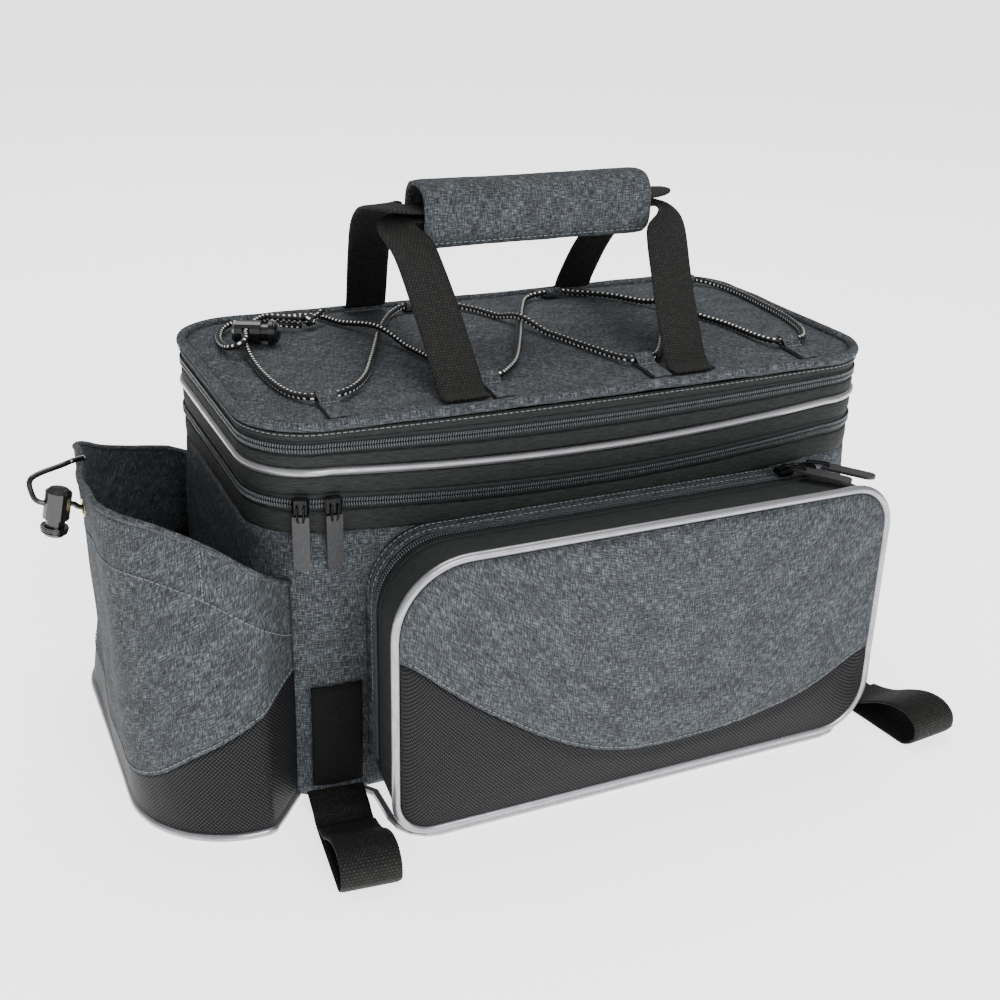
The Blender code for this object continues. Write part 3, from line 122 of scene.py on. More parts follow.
class BagSizes(bpy.types.PropertyGroup):
    """Sizes of the bag, in metres"""
    length: FloatProperty(name="Body length", default=0.360, unit="LENGTH")
    width: FloatProperty(name="Body width", default=0.190, unit="LENGTH")
    corner: FloatProperty(name="Body corner radius", default=0.036, unit="LENGTH")
    bulge: FloatProperty(name="Wall bulge", default=0.004, unit="LENGTH")
    tub_height: FloatProperty(name="Tub height", default=0.154, unit="LENGTH")
    sag: FloatProperty(name="Trim sag", default=0.009, unit="LENGTH")
    cloth: FloatProperty(name="Cloth thickness", default=0.002, unit="LENGTH")
    piping: FloatProperty(name="Piping radius", default=0.0022, unit="LENGTH")
    binding: FloatProperty(name="Binding radius", default=0.0028, unit="LENGTH")
    binding_height: FloatProperty(name="Binding height", default=0.2090, unit="LENGTH")
    dome: FloatProperty(name="Lid dome", default=0.003, unit="LENGTH")
    pocket_left: FloatProperty(name="Pocket left", default=-0.132, unit="LENGTH")
    pocket_right: FloatProperty(name="Pocket right", default=0.152, unit="LENGTH")
    pocket_bottom: FloatProperty(name="Pocket bottom", default=0.0074, unit="LENGTH")
    pocket_top: FloatProperty(name="Pocket top", default=0.156, unit="LENGTH")
    pocket_depth: FloatProperty(name="Pocket depth", default=0.055, unit="LENGTH")
    pocket_flare: FloatProperty(name="Pocket flare", default=0.005, unit="LENGTH")
    pocket_puff: FloatProperty(name="Pocket puff", default=0.004, unit="LENGTH")
    pouch_depth: FloatProperty(name="Pouch depth", default=0.068, unit="LENGTH")
    pouch_half_width: FloatProperty(name="Pouch half width", default=0.1155, unit="LENGTH")
    pouch_top_half_width: FloatProperty(name="Pouch top half width", default=0.105, unit="LENGTH")
    pouch_corner: FloatProperty(name="Pouch corner radius", default=0.055, unit="LENGTH")
    pouch_height: FloatProperty(name="Pouch height", default=0.165, unit="LENGTH")
    webbing: FloatProperty(name="Handle webbing width", default=0.025, unit="LENGTH")
    strap: FloatProperty(name="Rack strap width", default=0.030, unit="LENGTH")
    cord: FloatProperty(name="Lacing radius", default=0.00175, unit="LENGTH")
    coil_pitch: FloatProperty(name="Zip coil pitch", default=0.00135, unit="LENGTH")
    stitch_pitch: FloatProperty(name="Stitch pitch", default=0.0031, unit="LENGTH")


class BagColours(bpy.types.PropertyGroup):
    """Colours of the bag, as sRGB hex"""
    heather: StringProperty(name="Heather cloth", default="34373A")
    heather_light: StringProperty(name="Heather flecks", default="6E7276")
    heather_dark: StringProperty(name="Heather shadows", default="17181A")
    dobby: StringProperty(name="Dobby nylon", default="020203")
    dobby_dot: StringProperty(name="Dobby dots", default="323234")
    band: StringProperty(name="Band cloth", default="131614")
    # The zip coil's colour is lighter than its own dark grey nylon: partly its colour, partly a painted glint.
    coil: StringProperty(name="Zip coil", default="404345")
    piping: StringProperty(name="Piping", default="9A9A9E")
    webbing: StringProperty(name="Webbing", default="0A0A09")
    # The webbing's highlight colour is a painted highlight for the raised yarns of its weave.
    webbing_painted_highlight: StringProperty(name="Webbing highlights", default="2B2A27")
    cord: StringProperty(name="Elastic cord", default="0B0B0C")
    fleck: StringProperty(name="Cord flecks", default="E6E6E2")
    plastic: StringProperty(name="Cord locks", default="070708")
    nickel: StringProperty(name="Zip sliders", default="1A1A1C")
    rubber: StringProperty(name="Pull tags", default="202022")
    hook: StringProperty(name="Hook tape", default="060606")
    brass: StringProperty(name="Eyelet", default="D8C49A")
    thread: StringProperty(name="Thread", default="74797D")
    floor: StringProperty(name="Floor", default="FAFAFA")


def sizes():
    return bpy.context.scene.bag_sizes


def colours():
    return bpy.context.scene.bag_colours


def linear(code):
    """An sRGB hex colour as linear RGBA."""
    values = [int(code[i:i + 2], 16) / 255 for i in (0, 2, 4)]
    return tuple(v / 12.92 if v <= 0.04045 else ((v + 0.055) / 1.055) ** 2.4 for v in values) + (1.0,)


# Small maths

def table_value(rows, share):
    """Straight-line reading of a table of (share, value) rows."""
    for (a, va), (b, vb) in zip(rows, rows[1:]):
        if share <= b:
            return va + (vb - va) * max(0.0, share - a) / (b - a)
    return rows[-1][1]


def soft_value(rows, share, blur=0.05):
    """The same table with its corners rounded off."""
    return sum(table_value(rows, share + blur * (k - 3) / 3) for k in range(7)) / 7


def smooth_line(points, steps):
    """Catmull-Rom curve through the points."""
    pts = [Vector(p) for p in points]
    ends = [2 * pts[0] - pts[1]] + pts + [2 * pts[-1] - pts[-2]]
    line = []
    for a, b, c, d in zip(ends, ends[1:], ends[2:], ends[3:]):
        for k in range(steps):
            t = k / steps
            line.append(0.5 * (2 * b + (c - a) * t + (2 * a - 5 * b + 4 * c - d) * t ** 2
                               + (3 * b - a - 3 * c + d) * t ** 3))
    return line + [pts[-1]]


def every(points, pitch, closed=False):
    """(place, way) pairs at an even pitch along a line."""
    pts = list(points) + ([points[0]] if closed else [])
    pairs = []
    wanted, walked = pitch / 2, 0.0
    for a, b in zip(pts, pts[1:]):
        span = (b - a).length
        while span > 1e-9 and wanted <= walked + span:
            pairs.append((a.lerp(b, (wanted - walked) / span), (b - a).normalized()))
            wanted += pitch
        walked += span
    return pairs


def crease(x, y, z, scale=22.0, seed=0.0):
    """Soft cloth unevenness from -1 to 1."""
    place = Vector((x, y, z)) * scale + Vector((seed, seed * 1.7, seed * 0.6))
    return 0.7 * noise.noise(place) + 0.3 * noise.noise(place * 2.7)


# The bag's own shape

def rounded_outline(half_x, half_y, radius, arc=14, long_steps=60, short_steps=24):
    """Rounded rectangle, anticlockwise from the right end of the back side."""
    points = []
    for sx, sy, start in ((1, 1, 0), (-1, 1, 90), (-1, -1, 180), (1, -1, 270)):
        for k in range(arc + 1):
            a = math.radians(start + 90 * k / arc)
            points.append((sx * (half_x - radius) + radius * math.cos(a),
                           sy * (half_y - radius) + radius * math.sin(a)))
        here = points[-1]
        if sx == sy:
            ahead = (-sx * (half_x - radius), here[1])
            steps = long_steps
        else:
            ahead = (here[0], -sy * (half_y - radius))
            steps = short_steps
        points += [(here[0] + (ahead[0] - here[0]) * k / steps, here[1] + (ahead[1] - here[1]) * k / steps)
                   for k in range(1, steps)]
    return points


def sag(x, y, z):
    """How far the trim dips in the middle of a long side."""
    s = sizes()
    along = 1.0 - min(1.0, abs(x) / (s.length / 2 - s.corner)) ** 2
    side = 1.0 if abs(y) > s.width / 2 - s.corner / 2 else 0.0
    return s.sag * soft_value(SAG_ROWS, z / s.binding_height, 0.03) * along * side


def body_grow(z):
    s = sizes()
    return s.bulge * soft_value(BULGE_ROWS, z / s.tub_height, 0.08) if z < s.tub_height else 0.0


def body_row(z, outset=0.0, bulged=True, sagging=True):
    s = sizes()
    grow = (body_grow(z) if bulged else 0.0) + outset
    flat = rounded_outline(s.length / 2 + grow, s.width / 2 + grow, s.corner + grow)
    return [Vector((x, y, z - (sag(x, y, z) if sagging else 0.0))) for x, y in flat]


def body_front(x, z):
    """The y of the front wall's outer face at a place."""
    s = sizes()
    grow = body_grow(z)
    half_x, half_y, radius = s.length / 2 + grow, s.width / 2 + grow, s.corner + grow
    past = abs(x) - (half_x - radius)
    if past <= 0:
        return -half_y
    return -(half_y - radius) - math.sqrt(max(0.0, radius ** 2 - past ** 2))


def edge_distance(x, y):
    s = sizes()
    qx, qy = abs(x) - (s.length / 2 - s.corner), abs(y) - (s.width / 2 - s.corner)
    return s.corner - math.hypot(max(qx, 0.0), max(qy, 0.0)) - min(max(qx, qy), 0.0)


def lid_height(x, y):
    s = sizes()
    edge = s.binding + 0.0009
    share = (edge_distance(x, y) - edge) / (s.width / 2 - edge)
    return s.binding_height + s.dome * table_value(DOME_ROWS, share)


def pocket_outline(inset, side_steps=40, arc=12):
    """Rounded rectangle in X and Z with a radius for each corner, anticlockwise from the front."""
    s = sizes()
    left, right = s.pocket_left + inset, s.pocket_right - inset
    low, high = s.pocket_bottom + inset, s.pocket_top - inset
    arcs = []
    for x, z, dx, dz, corner, start in ((right, high, -1, -1, "right_top", 0), (left, high, 1, -1, "left_top", 90),
                                        (left, low, 1, 1, "left_bottom", 180),
                                        (right, low, -1, 1, "right_bottom", 270)):
        radius = POCKET_RADII[corner] - inset
        arcs.append([(x + dx * radius + radius * math.cos(a), z + dz * radius + radius * math.sin(a))
                     for a in (math.radians(start + 90 * k / arc) for k in range(arc + 1))])
    points = []
    for line, after in zip(arcs, arcs[1:] + arcs[:1]):
        (ax, az), (bx, bz) = line[-1], after[0]
        points += line
        points += [(ax + (bx - ax) * k / side_steps, az + (bz - az) * k / side_steps)
                   for k in range(1, side_steps)]
    return points


def pocket_row(depth, inset=0.0, crumple=0.0):
    """One row round the pocket's gusset at a depth from the body's front wall."""
    s = sizes()
    flare = s.pocket_flare * (1.0 - depth / s.pocket_depth)
    row = []
    for x, z in pocket_outline(inset + flare):
        dent = crumple * crease(x, depth * 2, z, 30.0, 4.0)
        row.append(Vector((x + dent * 0.4, -(s.width / 2 + depth), z - abs(dent))))
    return row


def pocket_edges(x, inset):
    s = sizes()
    edges = []
    for side, sign in (("bottom", 1), ("top", -1)):
        z = s.pocket_bottom + inset if side == "bottom" else s.pocket_top - inset
        for end, limit, way in (("left", s.pocket_left + inset, 1), ("right", s.pocket_right - inset, -1)):
            radius = POCKET_RADII[end + "_" + side] - inset
            past = radius - way * (x - limit)
            if past > 0:
                z += sign * (radius - math.sqrt(max(0.0, radius ** 2 - past ** 2)))
        edges.append(z)
    return edges


def pocket_seam(x):
    s = sizes()
    share = (x - s.pocket_left) / (s.pocket_right - s.pocket_left)
    return s.pocket_bottom + (s.pocket_top - s.pocket_bottom) * soft_value(SEAM_ROWS, share, 0.05)


def pocket_face(x, z):
    s = sizes()
    u = 2 * (x - s.pocket_left) / (s.pocket_right - s.pocket_left) - 1
    v = 2 * (z - s.pocket_bottom) / (s.pocket_top - s.pocket_bottom) - 1
    room = (1 - min(1.0, abs(u)) ** 4) * (1 - min(1.0, abs(v)) ** 4)
    dip = 0.0009 * math.exp(-((z - pocket_seam(x)) / 0.004) ** 2)
    soft = 0.0012 * crease(x * 0.6, 0.0, z, 26.0, 9.0)
    return -(s.width / 2 + s.pocket_depth + 0.001 + (s.pocket_puff + soft) * room - dip)


def pouch_half_outline(height):
    s = sizes()
    share = min(1.0, height / s.pouch_height)
    half_width = s.pouch_half_width + (s.pouch_top_half_width - s.pouch_half_width) * share ** 2
    outer = -(s.length / 2 + s.pouch_depth + 0.004 * (share - 0.5))
    seam = Vector((-0.1655, body_front(-0.1655, height) - 0.0009))
    turn = Vector((-0.1855, -half_width))
    centre = Vector((outer + s.pouch_corner, -(half_width - s.pouch_corner)))
    points = [seam, seam.lerp(turn, 0.5) + Vector((-0.002, -0.003)), turn]
    for k in range(25):
        a = math.radians(270 - 90 * k / 24)
        points.append(centre + s.pouch_corner * Vector((math.cos(a), math.sin(a))))
    points.append(Vector((outer, 0.0)))
    return points


def pouch_place(share, height):
    """A point in plan: share 0 is the front seam, 1 the middle and 2 the back seam."""
    points = pouch_half_outline(height)
    lengths = [0.0]
    for a, b in zip(points, points[1:]):
        lengths.append(lengths[-1] + (b - a).length)
    wanted = lengths[-1] * (share if share <= 1 else 2 - share)
    k = next(i for i in range(len(points) - 1) if wanted <= lengths[i + 1] + 1e-9)
    place = points[k].lerp(points[k + 1], (wanted - lengths[k]) / (lengths[k + 1] - lengths[k]))
    return place if share <= 1 else Vector((place.x, -place.y))


def pouch_point(share, height, out=0.0):
    place = pouch_place(share, height)
    middle = Vector((-0.185, 0.0))
    soft = 0.0022 * crease(place.x, place.y, height * 0.55, 24.0, 2.0) * min(1.0, height / 0.05)
    away = (place - middle).normalized() * (out + soft * min(1.0, 4 * share, 4 * (2 - share)))
    drawn = 0.007 * table_value(DRAWN_ROWS, share) * min(1.0, height / 0.045)
    return Vector((place.x + away.x + drawn, place.y + away.y, height))


def pouch_level(rows, share):
    return sizes().pouch_height * soft_value(rows, share if share <= 1 else 2 - share, 0.05)


def hem_level(share):
    return pouch_level(HEM_ROWS if share <= 1 else BACK_HEM_ROWS, share)


# Materials

def node(tree, kind, inputs=None, **settings):
    """Adds a node, fills its inputs with values or links, and returns it."""
    made = tree.nodes.new(kind)
    for name, value in settings.items():
        setattr(made, name, value)
    for name, value in (inputs or {}).items():
        if isinstance(value, bpy.types.NodeSocket):
            tree.links.new(value, made.inputs[name])
        else:
            made.inputs[name].default_value = value
    return made


def new_material(name, roughness, specular=0.5, metallic=0.0, coat=0.0):
    """A material with a Principled shader whose even values sit on its own sockets."""
    made = bpy.data.materials.new(name)
    made.use_nodes = True
    tree = made.node_tree
    shader = tree.nodes["Principled BSDF"]
    shader.inputs["Roughness"].default_value = roughness
    shader.inputs["Metallic"].default_value = metallic
    shader.inputs["Specular IOR Level"].default_value = specular
    shader.inputs["Coat Weight"].default_value = coat
    shader.inputs["Coat Roughness"].default_value = 0.15
    return made, tree, shader


def cloth_place(tree):
    return node(tree, "ShaderNodeUVMap", uv_map="cloth").outputs["UV"]


def stretched(tree, vector, scale, size, detail=3.0, roughness=0.6):
    """Noise stretched along one way of the cloth; scale is per metre on U and V."""
    moved = node(tree, "ShaderNodeMapping", {"Vector": vector, "Scale": (scale[0], scale[1], 1.0)})
    return node(tree, "ShaderNodeTexNoise", {"Vector": moved.outputs["Vector"], "Scale": size, "Detail": detail,
                                             "Roughness": roughness}).outputs["Fac"]


def ramp(tree, factor, stops):
    made = node(tree, "ShaderNodeValToRGB", {"Fac": factor})
    elements = made.color_ramp.elements
    while len(elements) < len(stops):
        elements.new(0.5)
    for element, (position, colour) in zip(elements, stops):
        element.position = position
        element.color = colour
    return made.outputs["Color"]


def math_node(tree, operation, a, b=0.0):
    return node(tree, "ShaderNodeMath", {0: a, 1: b}, operation=operation).outputs["Value"]


def mix_colour(tree, factor, a, b):
    made = node(tree, "ShaderNodeMix", data_type="RGBA")
    for slot, value in ((made.inputs[0], factor), (made.inputs[6], a), (made.inputs[7], b)):
        if isinstance(value, bpy.types.NodeSocket):
            tree.links.new(value, slot)
        else:
            slot.default_value = value
    return made.outputs[2]


def raise_surface(tree, shader, height, strength, distance):
    bump = node(tree, "ShaderNodeBump", {"Height": height, "Strength": strength, "Distance": distance})
    tree.links.new(bump.outputs["Normal"], shader.inputs["Normal"])


def heather_cloth():
    """Slate grey heather polyester: mixed light and dark yarns with slubs both ways."""
    c = colours()
    made, tree, shader = new_material("heather_polyester", 0.9, specular=0.2)
    uv = cloth_place(tree)
    across = stretched(tree, uv, (230.0, 1900.0), 1.0, 3.0, 0.6)
    up = stretched(tree, uv, (1900.0, 230.0), 1.0, 3.0, 0.6)
    patches = stretched(tree, uv, (60.0, 90.0), 1.0, 2.0, 0.5)
    yarn = math_node(tree, "ADD", math_node(tree, "MULTIPLY", across, 0.5), math_node(tree, "MULTIPLY", up, 0.5))
    mixed = math_node(tree, "ADD", math_node(tree, "MULTIPLY", yarn, 0.9), math_node(tree, "MULTIPLY", patches, 0.1))
    colour = ramp(tree, mixed, ((0.36, linear(c.heather_dark)), (0.50, linear(c.heather)),
                                (0.64, linear(c.heather_light))))
    tree.links.new(colour, shader.inputs["Base Color"])
    raise_surface(tree, shader, yarn, 0.55, 0.0006)
    return made


def dobby_nylon():
    """Black nylon with a fine diagonal grid of raised dots."""
    c = colours()
    made, tree, shader = new_material("dobby_nylon", 0.5, specular=0.12)
    turned = node(tree, "ShaderNodeMapping", {"Vector": cloth_place(tree), "Scale": (640.0, 640.0, 1.0),
                                              "Rotation": (0.0, 0.0, math.radians(45))})
    dots = node(tree, "ShaderNodeTexVoronoi", {"Vector": turned.outputs["Vector"], "Scale": 1.0,
                                               "Randomness": 0.0}).outputs["Distance"]
    light = ramp(tree, dots, ((0.20, linear(c.dobby_dot)), (0.40, linear(c.dobby))))
    tree.links.new(light, shader.inputs["Base Color"])
    raise_surface(tree, shader, math_node(tree, "SUBTRACT", 1.0, dots), 0.8, 0.0007)
    return made


def ribbed_tape(name, code, light, roughness=0.8):
    """Black woven tape with fine ribs along its length."""
    made, tree, shader = new_material(name, roughness, specular=0.25)
    uv = cloth_place(tree)
    ribs = stretched(tree, uv, (150.0, 1500.0), 1.0, 2.0, 0.5)
    grain = stretched(tree, uv, (900.0, 900.0), 1.0, 2.0, 0.6)
    mixed = math_node(tree, "ADD", math_node(tree, "MULTIPLY", ribs, 0.6), math_node(tree, "MULTIPLY", grain, 0.4))
    colour = ramp(tree, mixed, ((0.38, linear(code)), (0.70, linear(light))))
    tree.links.new(colour, shader.inputs["Base Color"])
    raise_surface(tree, shader, mixed, 0.5, 0.0004)
    return made


def glossy_piping():
    """Silver grey piping with a satin shine and faint scuffs."""
    c = colours()
    made, tree, shader = new_material("satin_piping", 0.25, metallic=0.75, coat=0.3)
    scuff = stretched(tree, cloth_place(tree), (400.0, 90.0), 1.0, 3.0, 0.6)
    base = linear(c.piping)
    dull = tuple(v * 0.72 for v in base[:3]) + (1.0,)
    tree.links.new(ramp(tree, scuff, ((0.30, dull), (0.60, base))), shader.inputs["Base Color"])
    tree.links.new(ramp(tree, scuff, ((0.3, (0.42, 0.42, 0.42, 1)), (0.7, (0.24, 0.24, 0.24, 1)))),
                   shader.inputs["Roughness"])
    raise_surface(tree, shader, scuff, 0.15, 0.0003)
    return made


def basket_webbing():
    """Coarse black webbing: a basket weave of raised yarns, with a painted highlight on the yarn tops and painted shade
    in the gaps between them.
    """
    c = colours()
    made, tree, shader = new_material("basket_webbing", 0.75, specular=0.25)
    moved = node(tree, "ShaderNodeMapping", {"Vector": cloth_place(tree), "Scale": (400.0, 400.0, 1.0)})
    cells = node(tree, "ShaderNodeTexBrick", {
        "Vector": moved.outputs["Vector"], "Color1": (1, 1, 1, 1), "Color2": (0.35, 0.35, 0.35, 1),
        "Mortar": (0, 0, 0, 1), "Scale": 1.0, "Mortar Size": 0.14, "Mortar Smooth": 0.9, "Brick Width": 0.75,
        "Row Height": 0.62}, offset=0.5)
    grain = stretched(tree, cloth_place(tree), (700.0, 260.0), 1.0, 3.0, 0.6)
    # Painted light: raised yarn tops are lit towards the highlight colour, and the mortar gaps between yarns stay at
    # the black base as painted shade.
    light = math_node(tree, "MULTIPLY", cells.outputs["Color"], grain)
    colour = ramp(tree, light, ((0.05, linear(c.webbing)), (0.62, linear(c.webbing_painted_highlight))))
    tree.links.new(colour, shader.inputs["Base Color"])
    raise_surface(tree, shader, cells.outputs["Color"], 1.0, 0.0012)
    return made


def flecked_cord():
    """Black braided elastic cord with two rows of white flecks."""
    c = colours()
    made, tree, shader = new_material("flecked_elastic", 0.55, specular=0.3)
    uv = cloth_place(tree)
    moved = node(tree, "ShaderNodeMapping", {"Vector": uv, "Scale": (273.0, 300.0, 1.0)})
    cells = node(tree, "ShaderNodeTexVoronoi", {"Vector": moved.outputs["Vector"], "Scale": 1.0,
                                                "Randomness": 0.0}, distance="EUCLIDEAN").outputs["Distance"]
    fleck = ramp(tree, cells, ((0.17, (1, 1, 1, 1)), (0.24, (0, 0, 0, 1))))
    tree.links.new(mix_colour(tree, fleck, linear(c.cord), linear(c.fleck)), shader.inputs["Base Color"])
    braid = stretched(tree, uv, (1100.0, 1100.0), 1.0, 2.0, 0.5)
    raise_surface(tree, shader, braid, 0.5, 0.0004)
    return made


def moulded(name, code, roughness, grain=0.15, coat=0.0, metallic=0.0):
    """Moulded plastic, rubber or plated metal with a fine surface grain and worn spots."""
    made, tree, shader = new_material(name, roughness, metallic=metallic, coat=coat)
    place = node(tree, "ShaderNodeTexCoord").outputs["Object"]
    spots = node(tree, "ShaderNodeTexNoise", {"Vector": place, "Scale": 900.0, "Detail": 3.0}).outputs["Fac"]
    base = linear(code)
    worn = tuple(min(1.0, v * 1.5 + 0.01) for v in base[:3]) + (1.0,)
    tree.links.new(ramp(tree, spots, ((0.45, base), (0.75, worn))), shader.inputs["Base Color"])
    raise_surface(tree, shader, spots, grain, 0.0002)
    return made


def thread():
    """Pale grey sewing thread."""
    made, tree, shader = new_material("sewing_thread", 0.6, specular=0.3)
    place = node(tree, "ShaderNodeTexCoord").outputs["Object"]
    twist = node(tree, "ShaderNodeTexNoise", {"Vector": place, "Scale": 1500.0}).outputs["Fac"]
    base = linear(colours().thread)
    dark = tuple(v * 0.6 for v in base[:3]) + (1.0,)
    tree.links.new(ramp(tree, twist, ((0.35, dark), (0.65, base))), shader.inputs["Base Color"])
    return made


def hook_tape():
    """Matte black hook-and-loop tape with a pile of small hooks."""
    made, tree, shader = new_material("hook_and_loop_tape", 0.95, specular=0.15)
    pile = stretched(tree, cloth_place(tree), (1500.0, 1500.0), 1.0, 2.0, 0.5)
    base = linear(colours().hook)
    tip = tuple(min(1.0, v * 4 + 0.01) for v in base[:3]) + (1.0,)
    tree.links.new(ramp(tree, pile, ((0.45, base), (0.72, tip))), shader.inputs["Base Color"])
    raise_surface(tree, shader, pile, 0.9, 0.0006)
    return made


MATERIALS = {}


def finish_of(slot):
    """The dressed material for a slot of the record, made once."""
    c = colours()
    makers = {
        "heather_cloth": heather_cloth,
        "dobby_nylon": dobby_nylon,
        "band_cloth": lambda: ribbed_tape("ribbed_band", c.band, "2C302D"),
        "zip_tape": lambda: ribbed_tape("zip_tape_cloth", "0D0E0F", "232628", 0.65),
        # The coil's colour is lightened past its dark grey as a painted glint.
        "zip_coil": lambda: moulded("zip_coil_nylon_painted_glint", c.coil, 0.28, 0.1),
        "silver_piping": glossy_piping,
        "black_webbing": basket_webbing,
        "elastic_cord": flecked_cord,
        "lock_plastic": lambda: moulded("glossy_lock_plastic", c.plastic, 0.22, 0.08, coat=0.3),
        "black_nickel": lambda: moulded("black_nickel_plate", c.nickel, 0.3, 0.1, metallic=0.9),
        "tag_rubber": lambda: moulded("pull_tag_rubber", c.rubber, 0.55, 0.3),
        "hook_tape": hook_tape,
        "eyelet_metal": lambda: moulded("pale_brass", c.brass, 0.25, 0.05, metallic=1.0),
        "thread": thread,
        "foot_piping": lambda: moulded("satin_foot_piping", c.piping, 0.3, 0.1, coat=0.3, metallic=0.75),
        "base_board": lambda: moulded("stiff_base_board", c.hook, 0.9, 0.3),
    }
    if slot not in MATERIALS:
        MATERIALS[slot] = makers[slot]()
    return MATERIALS[slot]


# Mesh makers

def dress(obj, slot, nodes=(), look=None, body=BODY):
    """Gives a piece the material of its slot or look and its body, and hides the CAD nodes it stands for."""
    obj.data.materials.clear()
    obj.data.materials.append(finish_of(look or slot))
    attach(obj, body)
    if nodes:
        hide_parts(*nodes)
    return obj


def link(name, mesh):
    made = bpy.data.objects.new(name, mesh)
    bpy.context.scene.collection.objects.link(made)
    return made


def woven(name, rows, closed=False, thickness=0.0, middle=None, cap=False, level=False):
    """A cloth skin through rows of points, with UVs in metres that follow the threads; level keeps
    each row at one place along V."""
    shape = bmesh.new()
    uv = shape.loops.layers.uv.new("cloth")
    grid = [[shape.verts.new(p) for p in row] for row in rows]
    count = len(rows[0])
    u = [0.0]
    base = rows[len(rows) // 2]
    for i in range(count):
        u.append(u[-1] + (base[(i + 1) % count] - base[i]).length)
    v = [[0.0] * count]
    for low, high in zip(rows, rows[1:]):
        steps = [(high[i] - low[i]).length for i in range(count)]
        if level:
            steps = [sum(steps) / count] * count
        v.append([v[-1][i] + steps[i] for i in range(count)])
    faces = []
    for j in range(len(rows) - 1):
        for i in range(count if closed else count - 1):
            k = (i + 1) % count
            face = shape.faces.new((grid[j][i], grid[j][k], grid[j + 1][k], grid[j + 1][i]))
            for loop, place in zip(face.loops, ((u[i], v[j][i]), (u[i + 1], v[j][k]), (u[i + 1], v[j + 1][k]),
                                                (u[i], v[j + 1][i]))):
                loop[uv].uv = place
            faces.append(face)
    if cap:
        for row in (list(reversed(grid[0])), grid[-1]):
            face = shape.faces.new(row)
            for loop in face.loops:
                loop[uv].uv = (loop.vert.co.x, loop.vert.co.y)
    shape.normal_update()
    if middle is not None:
        centre = Vector(middle)
        if sum(f.normal.dot(f.calc_center_median() - centre) * f.calc_area() for f in faces) < 0:
            bmesh.ops.reverse_faces(shape, faces=shape.faces)
    if cap:
        bmesh.ops.recalc_face_normals(shape, faces=shape.faces)
    mesh = bpy.data.meshes.new(name)
    shape.to_mesh(mesh)
    shape.free()
    mesh.shade_smooth()
    made = link(name, mesh)
    if thickness:
        solid = made.modifiers.new("cloth", "SOLIDIFY")
        solid.thickness = thickness
        solid.offset = -1.0
        solid.use_even_offset = True
    return made


def tube(name, points, radius, sides=14, closed=False):
    """A round cord along a line, with UVs in metres round and along it."""
    pts = list(points)
    count = len(pts)
    rows = []
    normal = None
    for i, p in enumerate(pts):
        ahead = pts[(i + 1) % count] if closed or i < count - 1 else p
        behind = pts[i - 1] if closed or i > 0 else p
        way = (ahead - behind).normalized()
        if normal is None:
            normal = way.cross(Vector((0.3, 0.1, 1.0))).normalized()
        normal = (normal - way * normal.dot(way)).normalized()
        side = way.cross(normal)
        rows.append([p + (normal * math.cos(a) + side * math.sin(a)) * radius
                     for a in (2 * math.pi * k / sides for k in range(sides))])
    if closed:
        rows.append(rows[0])
    made = woven(name, rows, closed=True, cap=not closed, level=True)
    if closed:
        shape = bmesh.new()
        shape.from_mesh(made.data)
        bmesh.ops.remove_doubles(shape, verts=shape.verts, dist=1e-6)
        bmesh.ops.recalc_face_normals(shape, faces=shape.faces)
        shape.to_mesh(made.data)
        shape.free()
        made.data.shade_smooth()
    return made


def webbing(name, stations, width, thickness, across_steps=10):
    """A flat woven strap: each station is its centre and the way its width runs."""
    centres = [c for c, _ in stations]
    rows = []
    for i, (centre, across) in enumerate(stations):
        ahead = centres[min(i + 1, len(centres) - 1)] - centres[max(i - 1, 0)]
        across = across.normalized()
        up = ahead.cross(across).normalized() * thickness / 2
        half = across * width / 2
        top = [centre + half * (2 * k / across_steps - 1) + up * (0.45 if k in (0, across_steps) else 1.0)
               for k in range(across_steps + 1)]
        low = [centre + half * (2 * k / across_steps - 1) - up * (0.45 if k in (0, across_steps) else 1.0)
               for k in range(across_steps, -1, -1)]
        rows.append(top + low)
    return woven(name, rows, closed=True, cap=True, level=True)


def bar(name, size, bevel):
    """A small rounded bar, used as the pattern of a stitch or a coil turn."""
    shape = bmesh.new()
    bmesh.ops.create_cube(shape, size=1.0)
    bmesh.ops.scale(shape, verts=shape.verts, vec=size)
    bmesh.ops.bevel(shape, geom=shape.edges[:], offset=bevel, segments=1, profile=0.5, affect="EDGES")
    mesh = bpy.data.meshes.new(name)
    shape.to_mesh(mesh)
    shape.free()
    mesh.shade_smooth()
    return bpy.data.objects.new(name, mesh)


